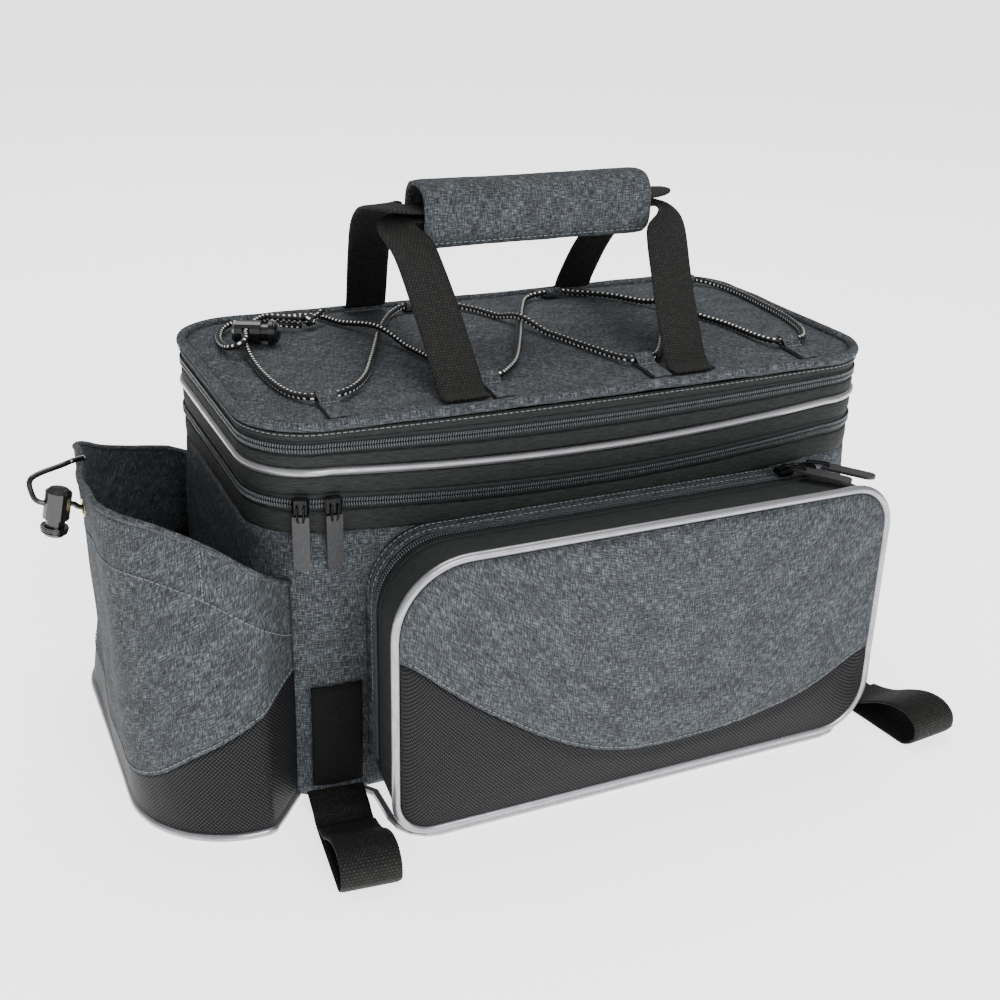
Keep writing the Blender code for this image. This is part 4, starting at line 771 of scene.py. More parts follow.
def repeat(name, pattern, places, look, slot, size=1.0):
    """Copies of a pattern at places (point, way along, way out), made by Geometry Nodes and then
    turned into one plain mesh."""
    mesh = bpy.data.meshes.new(name + "_places")
    mesh.from_pydata([p for p, _, _ in places], [], [])
    turns = mesh.attributes.new("turn", "FLOAT_VECTOR", "POINT")
    for item, (_, along, out) in zip(turns.data, places):
        side = out.cross(along).normalized()
        out = along.cross(side).normalized()
        item.vector = Matrix((along, side, out)).transposed().to_euler()
    holder = link(name + "_places", mesh)
    bpy.context.scene.collection.objects.link(pattern)
    tree = bpy.data.node_groups.new(name, "GeometryNodeTree")
    tree.interface.new_socket("Geometry", in_out="INPUT", socket_type="NodeSocketGeometry")
    wanted = tree.interface.new_socket("Size", in_out="INPUT", socket_type="NodeSocketFloat")
    tree.interface.new_socket("Geometry", in_out="OUTPUT", socket_type="NodeSocketGeometry")
    start = node(tree, "NodeGroupInput")
    end = node(tree, "NodeGroupOutput")
    info = node(tree, "GeometryNodeObjectInfo", {"Object": pattern})
    turn = node(tree, "GeometryNodeInputNamedAttribute", {"Name": "turn"}, data_type="FLOAT_VECTOR")
    spin = node(tree, "FunctionNodeEulerToRotation", {"Euler": turn.outputs["Attribute"]})
    copies = node(tree, "GeometryNodeInstanceOnPoints", {
        "Points": start.outputs[0], "Instance": info.outputs["Geometry"], "Rotation": spin.outputs[0],
        "Scale": start.outputs["Size"]})
    real = node(tree, "GeometryNodeRealizeInstances", {"Geometry": copies.outputs[0]})
    coated = node(tree, "GeometryNodeSetMaterial", {"Geometry": real.outputs[0], "Material": finish_of(look)})
    tree.links.new(coated.outputs[0], end.inputs[0])
    copier = holder.modifiers.new("copies", "NODES")
    copier.node_group = tree
    copier[wanted.identifier] = size
    graph = bpy.context.evaluated_depsgraph_get()
    plain = bpy.data.meshes.new_from_object(holder.evaluated_get(graph))
    plain.name = name
    made = link(name, plain)
    for old in (holder, pattern):
        bpy.data.objects.remove(old, do_unlink=True)
    return dress(made, slot, look=look)


def stitches(name, points, out_of, closed=False, pitch=None, lift=0.0002):
    """A row of stitches along a line on the cloth."""
    pitch = pitch or sizes().stitch_pitch
    places = [(p + out_of(p) * lift, way, out_of(p)) for p, way in every(points, pitch, closed)]
    return repeat(name, bar(name + "_one", (pitch * 0.72, 0.00055, 0.0005), 0.00018), places, "thread",
                  "heather_cloth")


def coil(name, points, out_of, rise_of, closed=True, half=0.0012, lift=0.0007):
    """The two rows of a zip's coil along a line; rise_of gives the way across the zip."""
    places = []
    for p, way in every(points, sizes().coil_pitch, closed):
        out, across = out_of(p), rise_of(p)
        for side in (-1, 1):
            lean = (across + way * 0.25 * side).normalized()
            places.append((p + out * lift + across * half * side, lean, out))
    return repeat(name, bar(name + "_turn", (0.0021, 0.00078, 0.0009), 0.00028), places, "zip_coil", "zip_tape")


def body_out(p):
    """Which way the main compartment's wall faces at a point."""
    s = sizes()
    cx = max(-(s.length / 2 - s.corner), min(s.length / 2 - s.corner, p.x))
    cy = max(-(s.width / 2 - s.corner), min(s.width / 2 - s.corner, p.y))
    away = Vector((p.x - cx, p.y - cy, 0.0))
    return away.normalized() if away.length > 1e-6 else Vector((0, -1, 0))


def pouch_out(p):
    away = Vector((p.x + 0.185, p.y, 0.0))
    return away.normalized()


def pocket_out(p):
    """Which way the pocket's gusset faces at a point."""
    s = sizes()
    mid = Vector((max(s.pocket_left + 0.04, min(s.pocket_right - 0.03, p.x)), p.y,
                  max(s.pocket_bottom + 0.03, min(s.pocket_top - 0.03, p.z))))
    return (p - mid).normalized()


# Pieces

def build_body():
    s = sizes()
    rows = [body_row(0.0, outset=-0.005 - body_grow(0.0), sagging=False),
            body_row(0.0012, outset=-0.0022, sagging=False)]
    for k in range(31):
        z = 0.005 + (s.tub_height - 0.005) * k / 30
        row = body_row(z, bulged=k < 30)
        taper = math.sin(math.pi * k / 30)
        for p in row:
            soft = 0.0016 * crease(p.x * 0.7, p.y * 0.7, p.z * 0.45, 26.0, 1.0) * taper
            soft *= 1.0 if p.y < -0.08 else 1.7
            p += body_out(p) * (soft - 0.0008 * taper)
        rows.append(row)
    tub = woven("main_compartment", rows, closed=True, thickness=s.cloth, middle=(0, 0, 0.08))
    shape = bmesh.new()
    shape.from_mesh(tub.data)
    rim = [e for e in shape.edges if e.is_boundary and e.verts[0].co.z < 0.0005]
    bmesh.ops.holes_fill(shape, edges=rim, sides=0)
    bmesh.ops.recalc_face_normals(shape, faces=shape.faces)
    shape.to_mesh(tub.data)
    shape.free()
    tub.data.shade_smooth()
    dress(tub, "heather_cloth", ["body_tub"])


def build_bands():
    s = sizes()
    for name, key, slot in (("lower_band", "lower", "band_cloth"), ("middle_band", "middle", "band_cloth"),
                            ("upper_band", "upper", "band_cloth"), ("top_band", "top", "band_cloth"),
                            ("lower_tape", "lower_zip", "zip_tape"), ("upper_tape", "upper_zip", "zip_tape")):
        low, high = LEVELS[key]
        rows = []
        for k in range(7):
            z = low - 0.0001 + (high - low + 0.0002) * k / 6
            round_off = 0.0005 * math.sin(math.pi * k / 6)
            row = body_row(z, outset=round_off if slot == "band_cloth" else -0.0002)
            rows.append([p + body_out(p) * 0.0005 * crease(p.x, p.y, p.z * 0.2, 40.0, 6.0) for p in row])
        made = woven(name, rows, closed=True, thickness=0.0018, middle=(0, 0, low))
        dress(made, slot, [("band_" + key) if slot == "band_cloth" else key])
    up = lambda p: Vector((0, 0, 1))
    for name, key in (("lower_coil", "lower_zip"), ("upper_coil", "upper_zip")):
        low, high = LEVELS[key]
        coil(name, body_row((low + high) / 2), body_out, up)
    piping = [p + body_out(p) * 0.0002 for p in body_row(0.1858, outset=-0.0004)]
    dress(tube("trim_piping", piping, s.piping, closed=True), "silver_piping", ["band_piping"])
    binding = body_row(s.binding_height, outset=-0.0006)
    binding = [p + Vector((0, 0, 0.0006 * crease(p.x, p.y, 0.0, 45.0, 3.0))) for p in binding]
    dress(tube("lid_edge_binding", binding, s.binding, closed=True), "heather_cloth", ["lid_binding"])
    stitches("binding_stitches", body_row(0.2052, outset=0.0009), body_out, closed=True)


def build_lid():
    s = sizes()
    edge = s.binding + 0.0004
    rows = []
    for k in range(25):
        share = k / 25
        inset = edge + share * (s.width / 2 - edge)
        flat = rounded_outline(s.length / 2 - inset, s.width / 2 - inset, max(0.0012, s.corner - inset))
        rows.append([])
        for x, y in flat:
            rise = s.dome * soft_value(DOME_ROWS, share, 0.06) + 0.0008 * crease(x, y, 0.0, 20.0, 7.0) * min(1, 5 * share)
            rows[-1].append(Vector((x, y, s.binding_height + rise - 0.0006)))
    shape = bmesh.new()
    uv = shape.loops.layers.uv.new("cloth")
    grid = [[shape.verts.new(p) for p in row] for row in rows]
    count = len(grid[0])
    for outer, inner in zip(grid, grid[1:]):
        for i in range(count):
            j = (i + 1) % count
            shape.faces.new((outer[i], outer[j], inner[j], inner[i]))
    shape.faces.new(grid[-1])
    for face in shape.faces:
        for loop in face.loops:
            loop[uv].uv = (loop.vert.co.x, loop.vert.co.y)
    mesh = bpy.data.meshes.new("lid_top")
    shape.to_mesh(mesh)
    shape.free()
    mesh.shade_smooth()
    lid = link("lid_top", mesh)
    solid = lid.modifiers.new("cloth", "SOLIDIFY")
    solid.thickness = s.cloth
    solid.offset = -1.0
    dress(lid, "heather_cloth", ["lid_panel"])


def cord_height(x, y):
    return lid_height(x, y) + 0.0003 + sizes().cord


def tab_places(x, side, inner):
    """Profile of a cord tab and the two places where the lacing passes through its fold."""
    s = sizes()
    cloth = 0.0009
    eye = s.cord + 0.0003 + cloth / 2
    outer = 0.0905
    while edge_distance(abs(x) + 0.00525, outer) < s.binding + 0.0015:
        outer -= 0.0003
    middle = (inner + outer) / 2
    base_in = lid_height(x, inner) + 0.0003 + cloth / 2
    base_middle = lid_height(x, middle) + 0.0003 + cloth / 2
    base_out = lid_height(abs(x) + 0.00525, outer) + 0.0003 + cloth / 2
    centre_z = base_in + eye
    line = [(outer, base_out), (middle, base_middle), (inner, base_in)]
    line += [(inner - eye * math.sin(a), centre_z - eye * math.cos(a))
             for a in (math.pi * k / 12 for k in range(1, 12))]
    line += [(inner, centre_z + eye), (inner + 0.71 * eye, centre_z + 0.71 * eye),
             (inner + 2.4 * eye, base_middle + cloth + 0.0006), (outer, base_out + cloth + 0.0003)]
    eyes = [Vector((x + way * 0.00645, side * inner, centre_z)) for way in (-1, 1)]
    return line, eyes


def build_tabs():
    for side, inner, xs, word in ((-1, 0.0668, FRONT_TABS, "front"), (1, 0.0728, BACK_TABS, "back")):
        for i, x in enumerate(xs):
            line, _ = tab_places(x, side, inner)
            rows = [[Vector((x + 0.0105 * (k / 4 - 0.5), side * y, z)) for k in range(5)] for y, z in line]
            made = woven(f"tab_{word}_{i + 1}", rows)
            solid = made.modifiers.new("cloth", "SOLIDIFY")
            solid.thickness = 0.0009
            solid.offset = 0.0
            rounded = made.modifiers.new("edges", "BEVEL")
            rounded.width = 0.00025
            rounded.segments = 2
            dress(made, "heather_cloth", [f"cord_tab_{word}_{i + 1}"])
            top_y = inner + 0.0078
            top_z = line[-2][1] + 0.0006
            seam = [Vector((x + 0.0048 * way, side * top_y, top_z)) for way in (-1, 1)]
            stitches(f"tab_{word}_{i + 1}_stitches", seam, lambda p: Vector((0, 0, 1)), pitch=0.0019)


def lock_frame():
    turn = math.radians(-25.0)
    way = Vector((math.cos(turn), math.sin(turn), 0.0))
    centre = Vector((-0.1480, 0.0370, lid_height(-0.1480, 0.0370) + 0.0074))
    return centre, way, Vector((-way.y, way.x, 0.0))


def lacing_passes():
    s = sizes()
    centre, _, hole = lock_frame()
    passes = []
    for lift in (s.cord + 0.00015, -s.cord - 0.00015):
        middle = centre + Vector((0, 0, lift))
        passes.append([middle + hole * 0.0078, middle - hole * 0.0078])
    front = [tab_places(x, -1, 0.0668)[1] for x in FRONT_TABS]
    back = [tab_places(x, 1, 0.0728)[1] for x in BACK_TABS]
    return ([passes[0], back[0], front[1], back[2], front[3]]
            + [back[3][::-1], front[2][::-1], back[1][::-1], front[0][::-1], passes[1][::-1]])


def lacing_line():
    """The lacing: curves between the straight places where an eye or the lock holds it."""
    passes = lacing_passes()
    line = []
    for i, stops in enumerate(LACING_RUNS):
        points = [Vector((x, y, cord_height(x, y) + lift)) for x, y, lift in stops]
        before = after = None
        if i > 0:
            entry, leave = passes[i - 1]
            before = leave - (leave - entry).normalized() * (points[0] - leave).length
            points.insert(0, leave)
        if i < len(passes):
            entry, leave = passes[i]
            after = entry + (leave - entry).normalized() * (points[-1] - entry).length
            points.append(entry)
        ends = [before or 2 * points[0] - points[1]] + points + [after or 2 * points[-1] - points[-2]]
        run = smooth_line(ends, 7)[7:-7]
        run[0], run[-1] = points[0], points[-1]
        line += run
    return [Vector((p.x, p.y, max(p.z, cord_height(p.x, p.y)))) for p in line]


def build_lacing():
    s = sizes()
    dress(tube("lid_lacing", lacing_line(), s.cord, sides=12), "elastic_cord", ["lid_cord"])
    x, y = -0.1070, 0.0560
    centre = Vector((x, y, lid_height(x, y) + 0.0048))
    turns = []
    for k in range(60):
        t = 2 * math.pi * k / 60
        turns.append(centre + Vector(((math.sin(t) + 2 * math.sin(2 * t)) * 0.00100,
                                      (math.cos(t) - 2 * math.cos(2 * t)) * 0.00100, -math.sin(3 * t) * 0.0013)))
    dress(tube("lacing_knot", turns, s.cord, closed=True), "elastic_cord", ["cord_knot"])
    tail = smooth_line([centre + Vector((0.0015, 0.0012, 0.0)), centre + Vector((0.006, 0.0045, 0.0005)),
                        centre + Vector((0.0105, 0.0085, 0.0022))], 6)
    dress(tube("lacing_tail", tail, s.cord * 0.95), "elastic_cord")


def build_locks():
    """The cord locks keep their CAD bodies; ribs and rings are added to the buttons."""
    for name in ("lid_lock_barrel", "lid_lock_button", "pouch_lock_barrel", "pouch_lock_button"):
        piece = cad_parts[name]
        piece.data.materials.clear()
        piece.data.materials.append(finish_of("lock_plastic"))
    centre, way, _ = lock_frame()
    rings = [("lid_button_ring", "lid_button", centre, way), ("pouch_button_ring", "pouch_button", *pouch_lock())]
    for name, body, middle, along in rings:
        start = middle + along * (0.00775 + 0.004 + 0.0003)
        side = along.cross(Vector((0.2, 0.9, 0.3))).normalized()
        other = along.cross(side)
        pieces = []
        for step, radius in ((0.0008, 0.00665), (0.0019, 0.00655), (0.0031, 0.0062)):
            ring = [start + along * step + (side * math.cos(a) + other * math.sin(a)) * radius
                    for a in (2 * math.pi * k / 40 for k in range(40))]
            pieces.append(tube(f"{name}_{len(pieces) + 1}", ring, 0.00042, sides=8, closed=True))
        for piece in pieces:
            dress(piece, "lock_plastic", body=body)


def pouch_lock():
    lean = math.radians(12.0)
    way = Vector((-math.sin(lean), 0.0, -math.cos(lean)))
    z = sizes().pouch_height - 0.012
    eyelet = Vector((pouch_place(1.0, z).x - 0.0003, -0.020, z))
    return eyelet + Vector((-0.0125, 0.0, 0.0045)), way


def build_pocket():
    s = sizes()
    middle = (0.01, -(s.width / 2 + 0.0275), 0.08)
    rear = [Vector((x, body_front(x, z) - 0.0004, z)) for x, z in pocket_outline(s.pocket_flare)]
    rows = [rear] + [pocket_row(0.0150 * k / 6, crumple=0.0008) for k in range(1, 7)]
    dress(woven("pocket_rear_strip", rows, closed=True, thickness=0.0018, middle=middle), "heather_cloth",
          ["pocket_gusset_rear"])
    rows = [pocket_row(0.0152 + 0.0130 * k / 6) for k in range(7)]
    high = [i for i, p in enumerate(rows[0]) if p.z > 0.030]
    start = next(i for i in high if (i - 1) % len(rows[0]) not in high)
    run = [(start + k) % len(rows[0]) for k in range(len(high))]
    dress(woven("pocket_tape", [[row[i] for i in run] for row in rows], thickness=0.0016, middle=middle),
          "zip_tape", ["pocket_zip"])
    line = pocket_row(0.0153 + 0.4 * 0.0128)
    coil("pocket_coil", [line[i] for i in run], pocket_out, lambda p: Vector((0, -1, 0)), closed=False)
    back, near = pocket_row(0.0283), pocket_row(0.0153)
    rows = [[back[i] if i in high else near[i] for i in range(len(back))]]
    rows += [pocket_row(0.0283 + (s.pocket_depth - 0.0020 - 0.0283) * k / 8, crumple=0.0009 * math.sin(math.pi * k / 8))
             for k in range(1, 9)]
    dress(woven("pocket_front_strip", rows, closed=True, thickness=0.0018, middle=middle), "band_cloth",
          ["pocket_gusset_front"])
    dress(tube("pocket_edge_piping", pocket_row(s.pocket_depth), s.piping, closed=True), "silver_piping",
          ["pocket_piping"])
    for name, slot, lower in (("pocket_lower_cloth", "dobby_nylon", True), ("pocket_upper_cloth", "heather_cloth", False)):
        inset = s.piping + 0.0001
        mid = (s.pocket_left + s.pocket_right) / 2
        half = (s.pocket_right - s.pocket_left) / 2 - inset
        columns = []
        for i in range(91):
            x = mid - half * math.cos(math.pi * i / 90)
            low, high_z = pocket_edges(x, inset)
            seam = min(max(pocket_seam(x), low + 0.0005), high_z - 0.0005)
            ends = (low, seam) if lower else (seam, high_z)
            columns.append([Vector((x, pocket_face(x, z), z))
                            for z in (ends[0] + (ends[1] - ends[0]) * k / 24 for k in range(25))])
        rows = [list(row) for row in zip(*columns)]
        dress(woven(name, rows, thickness=0.0018, middle=(mid, 0, 0.08)), slot,
              ["pocket_panel_lower" if lower else "pocket_panel_upper"])
    out = lambda p: Vector((0, -1, 0))
    seam = [Vector((x, pocket_face(x, pocket_seam(x) + 0.0022) - 0.0001, pocket_seam(x) + 0.0022))
            for x in (s.pocket_left + 0.006 + (s.pocket_right - s.pocket_left - 0.012) * k / 80 for k in range(81))]
    stitches("pocket_seam_stitches", seam, out)
    for name, depth in (("gusset_stitches_a", 0.0042), ("gusset_stitches_b", 0.0115)):
        line = pocket_row(depth)
        top = [p for p in line if p.z > 0.06]
        start = next(i for i, p in enumerate(line) if p.z > 0.06 and line[i - 1].z <= 0.06)
        stitches(name, [line[(start + k) % len(line)] for k in range(len(top))], pocket_out)


def build_pouch():
    s = sizes()
    middle = (-0.185, 0.0, 0.08)
    shares = [2 * k / 120 for k in range(121)]
    lower, upper = [], []
    for k in range(15):
        lower.append([pouch_point(q, 0.0052 + (pouch_level(POUCH_SEAM_ROWS, q) - 0.0052) * k / 14) for q in shares])
    for k in range(29):
        t = k / 28
        row = []
        for q in shares:
            low, high = pouch_level(POUCH_SEAM_ROWS, q), hem_level(q)
            z = low + (high - low) * t
            channel = 0.0007 if high - z < 0.026 else 0.0
            dip = -0.0006 * math.exp(-((high - z - 0.027) / 0.0025) ** 2)
            row.append(pouch_point(q, z, channel + dip))
        upper.append(row)
    dress(woven("pouch_lower_cloth", lower, thickness=s.cloth, middle=middle), "dobby_nylon", ["pouch_panel_lower"])
    dress(woven("pouch_upper_cloth", upper, thickness=s.cloth, middle=middle), "heather_cloth", ["pouch_panel_upper"])
    hem = [pouch_point(q, hem_level(q) - 0.0006) - pouch_out(pouch_point(q, 0.1)) * 0.0004 for q in shares]
    dress(tube("pouch_hem_fold", hem, 0.0017), "heather_cloth")
    line = [pouch_point(q, hem_level(q) - 0.0280, 0.0003) for q in shares]
    stitches("hem_stitches", line, pouch_out)
    line = [pouch_point(q, pouch_level(POUCH_SEAM_ROWS, q) + 0.0022, 0.0002) for q in shares]
    stitches("pouch_seam_stitches", line, pouch_out)
    side = 0.30
    high = hem_level(side)
    line = [pouch_point(side, high - 0.028 + 0.026 * k / 8, 0.0009) for k in range(9)]
    stitches("channel_end_stitches", line, pouch_out, pitch=0.0024)
    foot = [pouch_place(q, 0.0) for q in shares]
    centre = Vector((-s.length / 2, 0.0))
    foot = [p + (centre - p).normalized() * 0.0009 for p in foot]
    dress(tube("pouch_foot_piping", [Vector((p.x, p.y, 0.0025)) for p in foot], s.piping), "silver_piping",
          ["pouch_piping"])
    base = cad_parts["pouch_base"]
    floor = woven("pouch_floor", [[Vector((p.x + (centre.x - p.x) * t * 0.9, p.y * (1 - t * 0.9), 0.0022))
                                   for p in foot[3:-3]] for t in (0.05, 0.12, 0.2)], thickness=0.0014,
                  middle=(-0.2, 0, -1.0))
    dress(floor, "dobby_nylon")
    base.data.materials.clear()
    base.data.materials.append(finish_of("base_board"))
    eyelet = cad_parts["pouch_eyelet"]
    eyelet.data.materials.clear()
    eyelet.data.materials.append(finish_of("eyelet_metal"))
    centre, way = pouch_lock()
    eye = centre - Vector((-0.0125, 0.0, 0.0045))
    hole = Vector((-way.z, 0.0, way.x))
    hem_z = hem_level(1.0)
    outer = pouch_place(1.0, hem_z).x
    line = [eye + Vector((-0.0003, 0, 0)), eye + Vector((-0.0030, 0, 0.0012)), centre + hole * 0.0075, centre,
            centre - hole * 0.0085, centre - hole * 0.0120 + Vector((0.0005, 0.003, 0.003)),
            centre + Vector((-0.010, 0.008, 0.012)), Vector((outer - 0.006, -0.004, hem_z + 0.0060)),
            Vector((outer - 0.001, 0.004, hem_z + 0.0042)), Vector((outer + 0.006, 0.012, hem_z + 0.0020))]
    dress(tube("hem_drawcord", smooth_line(line, 6), 0.0014, sides=12), "elastic_cord", ["pouch_drawcord"],
          look="lock_plastic")


def strap_stations(rows, side, anchors, steps=5):
    ends = []
    for end_x, way, anchor in ((-0.064, -1, anchors[0]), (0.071, 1, anchors[1])):
        end = []
        for y, z, share, past, wide_x, wide_y in rows:
            x = end_x + way * (anchor * (1 - share) + past * share)
            end.append((Vector((x, side * y, z)), Vector((-way * wide_x, side * wide_y, 0.0))))
        ends.append(end)
    stations = ends[0] + ends[1][::-1]
    places = smooth_line([place for place, _ in stations], steps)
    turns = smooth_line([turn for _, turn in stations], steps)
    return list(zip(places, turns))


def build_handle():
    s = sizes()
    front = strap_stations(FRONT_STRAP_ROWS, -1, (0.0065, -0.0105))
    back = strap_stations(BACK_STRAP_ROWS, 1, (-0.0005, 0.0050))
    dress(webbing("front_handle_webbing", front, s.webbing, 0.0016), "black_webbing", ["handle_strap_front"])
    dress(webbing("back_handle_webbing", back, s.webbing, 0.0016), "black_webbing", ["handle_strap_back"])
    rows = []
    for i in range(49):
        t = i / 48
        x = -0.064 + 0.135 * t
        ends = min(1.0, t / 0.05, (1 - t) / 0.05)
        pull = 1.0 - 0.035 * (1 - ends) ** 2 - 0.02 * math.sin(math.pi * t)
        row = []
        for k in range(56):
            a = 2 * math.pi * k / 56
            c, si = math.cos(a), math.sin(a)
            soft = 1.0 + 0.018 * crease(x, c * 0.02, si * 0.02, 60.0, 5.0)
            dent = 1.0 - 0.05 * math.exp(-((a - math.radians(232)) / 0.10) ** 2)
            size = pull * soft * dent
            row.append(Vector((x, 0.016 * size * math.copysign(abs(c) ** 0.75, c),
                               0.2845 + 0.018 * size * math.copysign(abs(si) ** 0.75, si))))
        rows.append(row)
    grip = woven("padded_grip", rows, closed=True, thickness=0.0025, middle=(0, 0, 0.2845))
    dress(grip, "heather_cloth", ["handle_grip"])
    a = math.radians(222)
    c, si = math.cos(a), math.sin(a)
    line = [Vector((-0.062 + 0.131 * k / 20, 0.0158 * math.copysign(abs(c) ** 0.75, c),
                    0.2845 + 0.0178 * math.copysign(abs(si) ** 0.75, si))) for k in range(21)]
    stitches("grip_stitches", line, lambda p: Vector((0, c, si)), pitch=0.0034, lift=0.0003)


def build_base_trim():
    s = sizes()
    patch_rows = []
    for k in range(13):
        z = 0.010 + 0.060 * k / 12
        patch_rows.append([Vector((x, body_front(x, z) - 0.0018, z))
                           for x in (-0.1585 + 0.0265 * i / 12 for i in range(13))])
    dress(woven("hook_tape_patch", patch_rows, thickness=0.0012, middle=(-0.14, 0, 0.04)), "hook_tape", ["hook_patch"])
    for name, node_name, root, end, slant in (
            ("left_rack_webbing", "rack_strap_left", (-0.1470, body_front(-0.1470, 0.0082) - 0.0009), (-0.1550, -0.179), 0.0),
            ("right_rack_webbing", "rack_strap_right", (0.1735, body_front(0.1735, 0.0082) - 0.0044), (0.1830, -0.179), -0.5)):
        start, stop = Vector((*root, 0.0)), Vector((*end, 0.0))
        way = (stop - start).normalized()
        side = Vector((-way.y, way.x, 0.0))
        line = smooth_line([start.lerp(stop, share) + Vector((0, 0, z)) for share, z in STRAP_ROWS], 5)
        stations = []
        for i, p in enumerate(line):
            share = (p - start).dot(way) / (stop - start).length
            lean = slant * max(0.0, 1.0 - 5 * share) if i < len(line) / 2 else 0.0
            stations.append((Vector((p.x, p.y, max(p.z, 0.0009))), (side + way * lean) * math.hypot(1, lean)))
        dress(webbing(name, stations, s.strap, 0.0016, 14), "black_webbing", [node_name])
    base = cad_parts["base_piping"]
    base.data.materials.clear()
    base.data.materials.append(finish_of("foot_piping"))


def build_pulls():
    """Zip sliders and pull tags keep their CAD bodies, with rings added."""
    for name, slot in (("main_slider_1", "black_nickel"), ("main_slider_2", "black_nickel"),
                       ("pocket_slider_1", "black_nickel"), ("pocket_slider_2", "black_nickel"),
                       ("main_tag_1", "tag_rubber"), ("main_tag_2", "tag_rubber"),
                       ("pocket_tag_1", "tag_rubber"), ("pocket_tag_2", "tag_rubber")):
        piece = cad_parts[name]
        piece.data.materials.clear()
        piece.data.materials.append(finish_of(slot))
    for group in ("main", "pocket"):
        for i in (1, 2):
            slider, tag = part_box(f"{group}_slider_{i}"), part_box(f"{group}_tag_{i}")
            a = (Vector(slider[0]) + Vector(slider[1])) / 2
            if group == "main":
                out = body_out(a)
                b = Vector((a.x, a.y, tag[1][2] - 0.0022)) + out * 0.0008
            else:
                out = Vector((0, 0, 1))
                b = Vector((tag[0][0] + 0.0045, tag[1][1] - 0.0045, tag[1][2]))
            top = a + out * 0.0022
            side = (b - top).cross(out).normalized() * 0.0017
            ring = smooth_line([top - side, top + out * 0.0012 - side, b + out * 0.0012 - side * 0.8, b,
                                b + out * 0.0012 + side * 0.8, top + out * 0.0012 + side, top + side], 4)
            dress(tube(f"{group}_pull_ring_{i}", ring, 0.00055, sides=8), "black_nickel")


def build_stage():
    scene = bpy.context.scene
    mesh = bpy.data.meshes.new("floor")
    mesh.from_pydata([(-12, -12, 0), (12, -12, 0), (12, 12, 0), (-12, 12, 0)], [], [(0, 1, 2, 3)])
    floor = link("floor", mesh)
    made, tree, shader = new_material("matt_studio_floor", 0.9)
    shader.inputs["Base Color"].default_value = linear(colours().floor)
    shader.inputs["Emission Color"].default_value = (1.0, 1.0, 1.0, 1.0)
    shader.inputs["Emission Strength"].default_value = 2.0
    mesh.materials.append(made)
    world = bpy.data.worlds.new("studio_air")
    world.use_nodes = True
    world.node_tree.nodes["Background"].inputs["Color"].default_value = (1.0, 1.0, 1.0, 1.0)
    world.node_tree.nodes["Background"].inputs["Strength"].default_value = 0.45
    scene.world = world
    for name, place, size, power in (("key_light", (0.1, -1.9, 1.1), 1.1, 36.0), ("fill_light", (-1.5, -0.9, 1.0), 1.4, 5.0),
                                     ("top_light", (0.1, 0.6, 2.0), 1.6, 34.0)):
        data = bpy.data.lights.new(name, "AREA")
        data.size = size
        data.energy = power
        lamp = bpy.data.objects.new(name, data)
        lamp.location = place
        lamp.rotation_euler = (Vector((0, 0, 0.1)) - Vector(place)).to_track_quat("-Z", "Y").to_euler()
        scene.collection.objects.link(lamp)
    forward = Vector((0.3852, 0.8326, -0.3979)).normalized()
    right = Vector((0.9076, -0.4199, 0.0)).normalized()
    up = right.cross(forward).normalized()
    roll = math.radians(1.4082)
    right, up = right * math.cos(roll) + up * math.sin(roll), up * math.cos(roll) - right * math.sin(roll)
    data = bpy.data.cameras.new("camera")
    data.lens = 49.29
    data.sensor_width = 36.0
    camera = bpy.data.objects.new("camera", data)
    turn = Matrix((right, up, -forward)).transposed().to_4x4()
    camera.matrix_world = Matrix.Translation((-0.3242, -0.6788, 0.4356)) @ turn
    scene.collection.objects.link(camera)
    scene.camera = camera


class BAG_OT_body(bpy.types.Operator):
    """Build the main compartment's cloth"""
    bl_idname = "bag.body"
    bl_label = "Main Compartment"

    def execute(self, context):
        build_body()
        return {"FINISHED"}


class BAG_OT_bands(bpy.types.Operator):
    """Build the bands, zips, piping and binding under the lid"""
    bl_idname = "bag.bands"
    bl_label = "Bands and Zips"

    def execute(self, context):
        build_bands()
        return {"FINISHED"}


class BAG_OT_lid(bpy.types.Operator):
    """Build the lid, its cord tabs and its lacing"""
    bl_idname = "bag.lid"
    bl_label = "Lid and Lacing"

    def execute(self, context):
        build_lid()
        build_tabs()
        build_lacing()
        return {"FINISHED"}


class BAG_OT_locks(bpy.types.Operator):
    """Dress the cord locks"""
    bl_idname = "bag.locks"
    bl_label = "Cord Locks"

    def execute(self, context):
        build_locks()
        return {"FINISHED"}


class BAG_OT_pocket(bpy.types.Operator):
    """Build the front pocket"""
    bl_idname = "bag.pocket"
    bl_label = "Front Pocket"

    def execute(self, context):
        build_pocket()
        return {"FINISHED"}


class BAG_OT_pouch(bpy.types.Operator):
    """Build the end pouch with its hem and drawcord"""
    bl_idname = "bag.pouch"
    bl_label = "End Pouch"

    def execute(self, context):
        build_pouch()
        return {"FINISHED"}


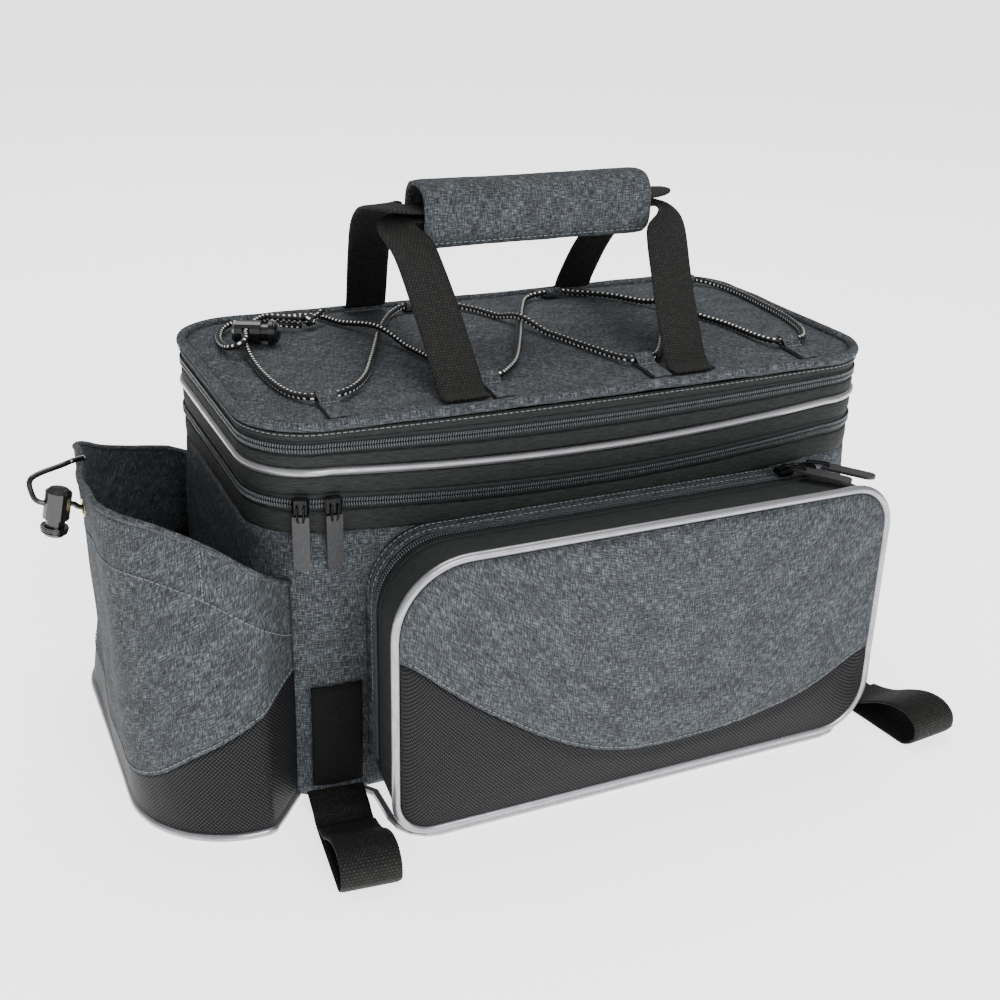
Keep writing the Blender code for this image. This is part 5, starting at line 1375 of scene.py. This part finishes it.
class BAG_OT_handle(bpy.types.Operator):
    """Build the handle's webbing and padded grip"""
    bl_idname = "bag.handle"
    bl_label = "Handle"

    def execute(self, context):
        build_handle()
        return {"FINISHED"}


class BAG_OT_trim(bpy.types.Operator):
    """Build the patch, rack straps and base piping"""
    bl_idname = "bag.trim"
    bl_label = "Base Trim"

    def execute(self, context):
        build_base_trim()
        return {"FINISHED"}


class BAG_OT_pulls(bpy.types.Operator):
    """Dress the zip sliders and pull tags"""
    bl_idname = "bag.pulls"
    bl_label = "Zip Pulls"

    def execute(self, context):
        build_pulls()
        return {"FINISHED"}


class BAG_OT_stage(bpy.types.Operator):
    """Build the floor, lights and camera"""
    bl_idname = "bag.stage"
    bl_label = "Stage"

    def execute(self, context):
        build_stage()
        return {"FINISHED"}


OPERATORS = (BAG_OT_body, BAG_OT_bands, BAG_OT_lid, BAG_OT_locks, BAG_OT_pocket, BAG_OT_pouch, BAG_OT_handle,
             BAG_OT_trim, BAG_OT_pulls, BAG_OT_stage)


class BAG_PT_panel(bpy.types.Panel):
    """Sidebar panel with the bag's sizes, colours and pieces"""
    bl_idname = "BAG_PT_panel"
    bl_label = "Rack Bag"
    bl_space_type = "VIEW_3D"
    bl_region_type = "UI"
    bl_category = "Rack Bag"

    def draw(self, context):
        layout = self.layout
        for operator in OPERATORS:
            layout.operator(operator.bl_idname)
        for group in (context.scene.bag_sizes, context.scene.bag_colours):
            for name in group.__annotations__:
                layout.prop(group, name)


CLASSES = (BagSizes, BagColours, *OPERATORS, BAG_PT_panel)


def register():
    for cls in CLASSES:
        bpy.utils.register_class(cls)
    bpy.types.Scene.bag_sizes = PointerProperty(type=BagSizes)
    bpy.types.Scene.bag_colours = PointerProperty(type=BagColours)


def unregister():
    del bpy.types.Scene.bag_colours
    del bpy.types.Scene.bag_sizes
    for cls in reversed(CLASSES):
        bpy.utils.unregister_class(cls)


def main():
    register()
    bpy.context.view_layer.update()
    for operator in OPERATORS:
        group, name = operator.bl_idname.split(".")
        getattr(getattr(bpy.ops, group), name)()


if __name__ == "__main__":
    main()
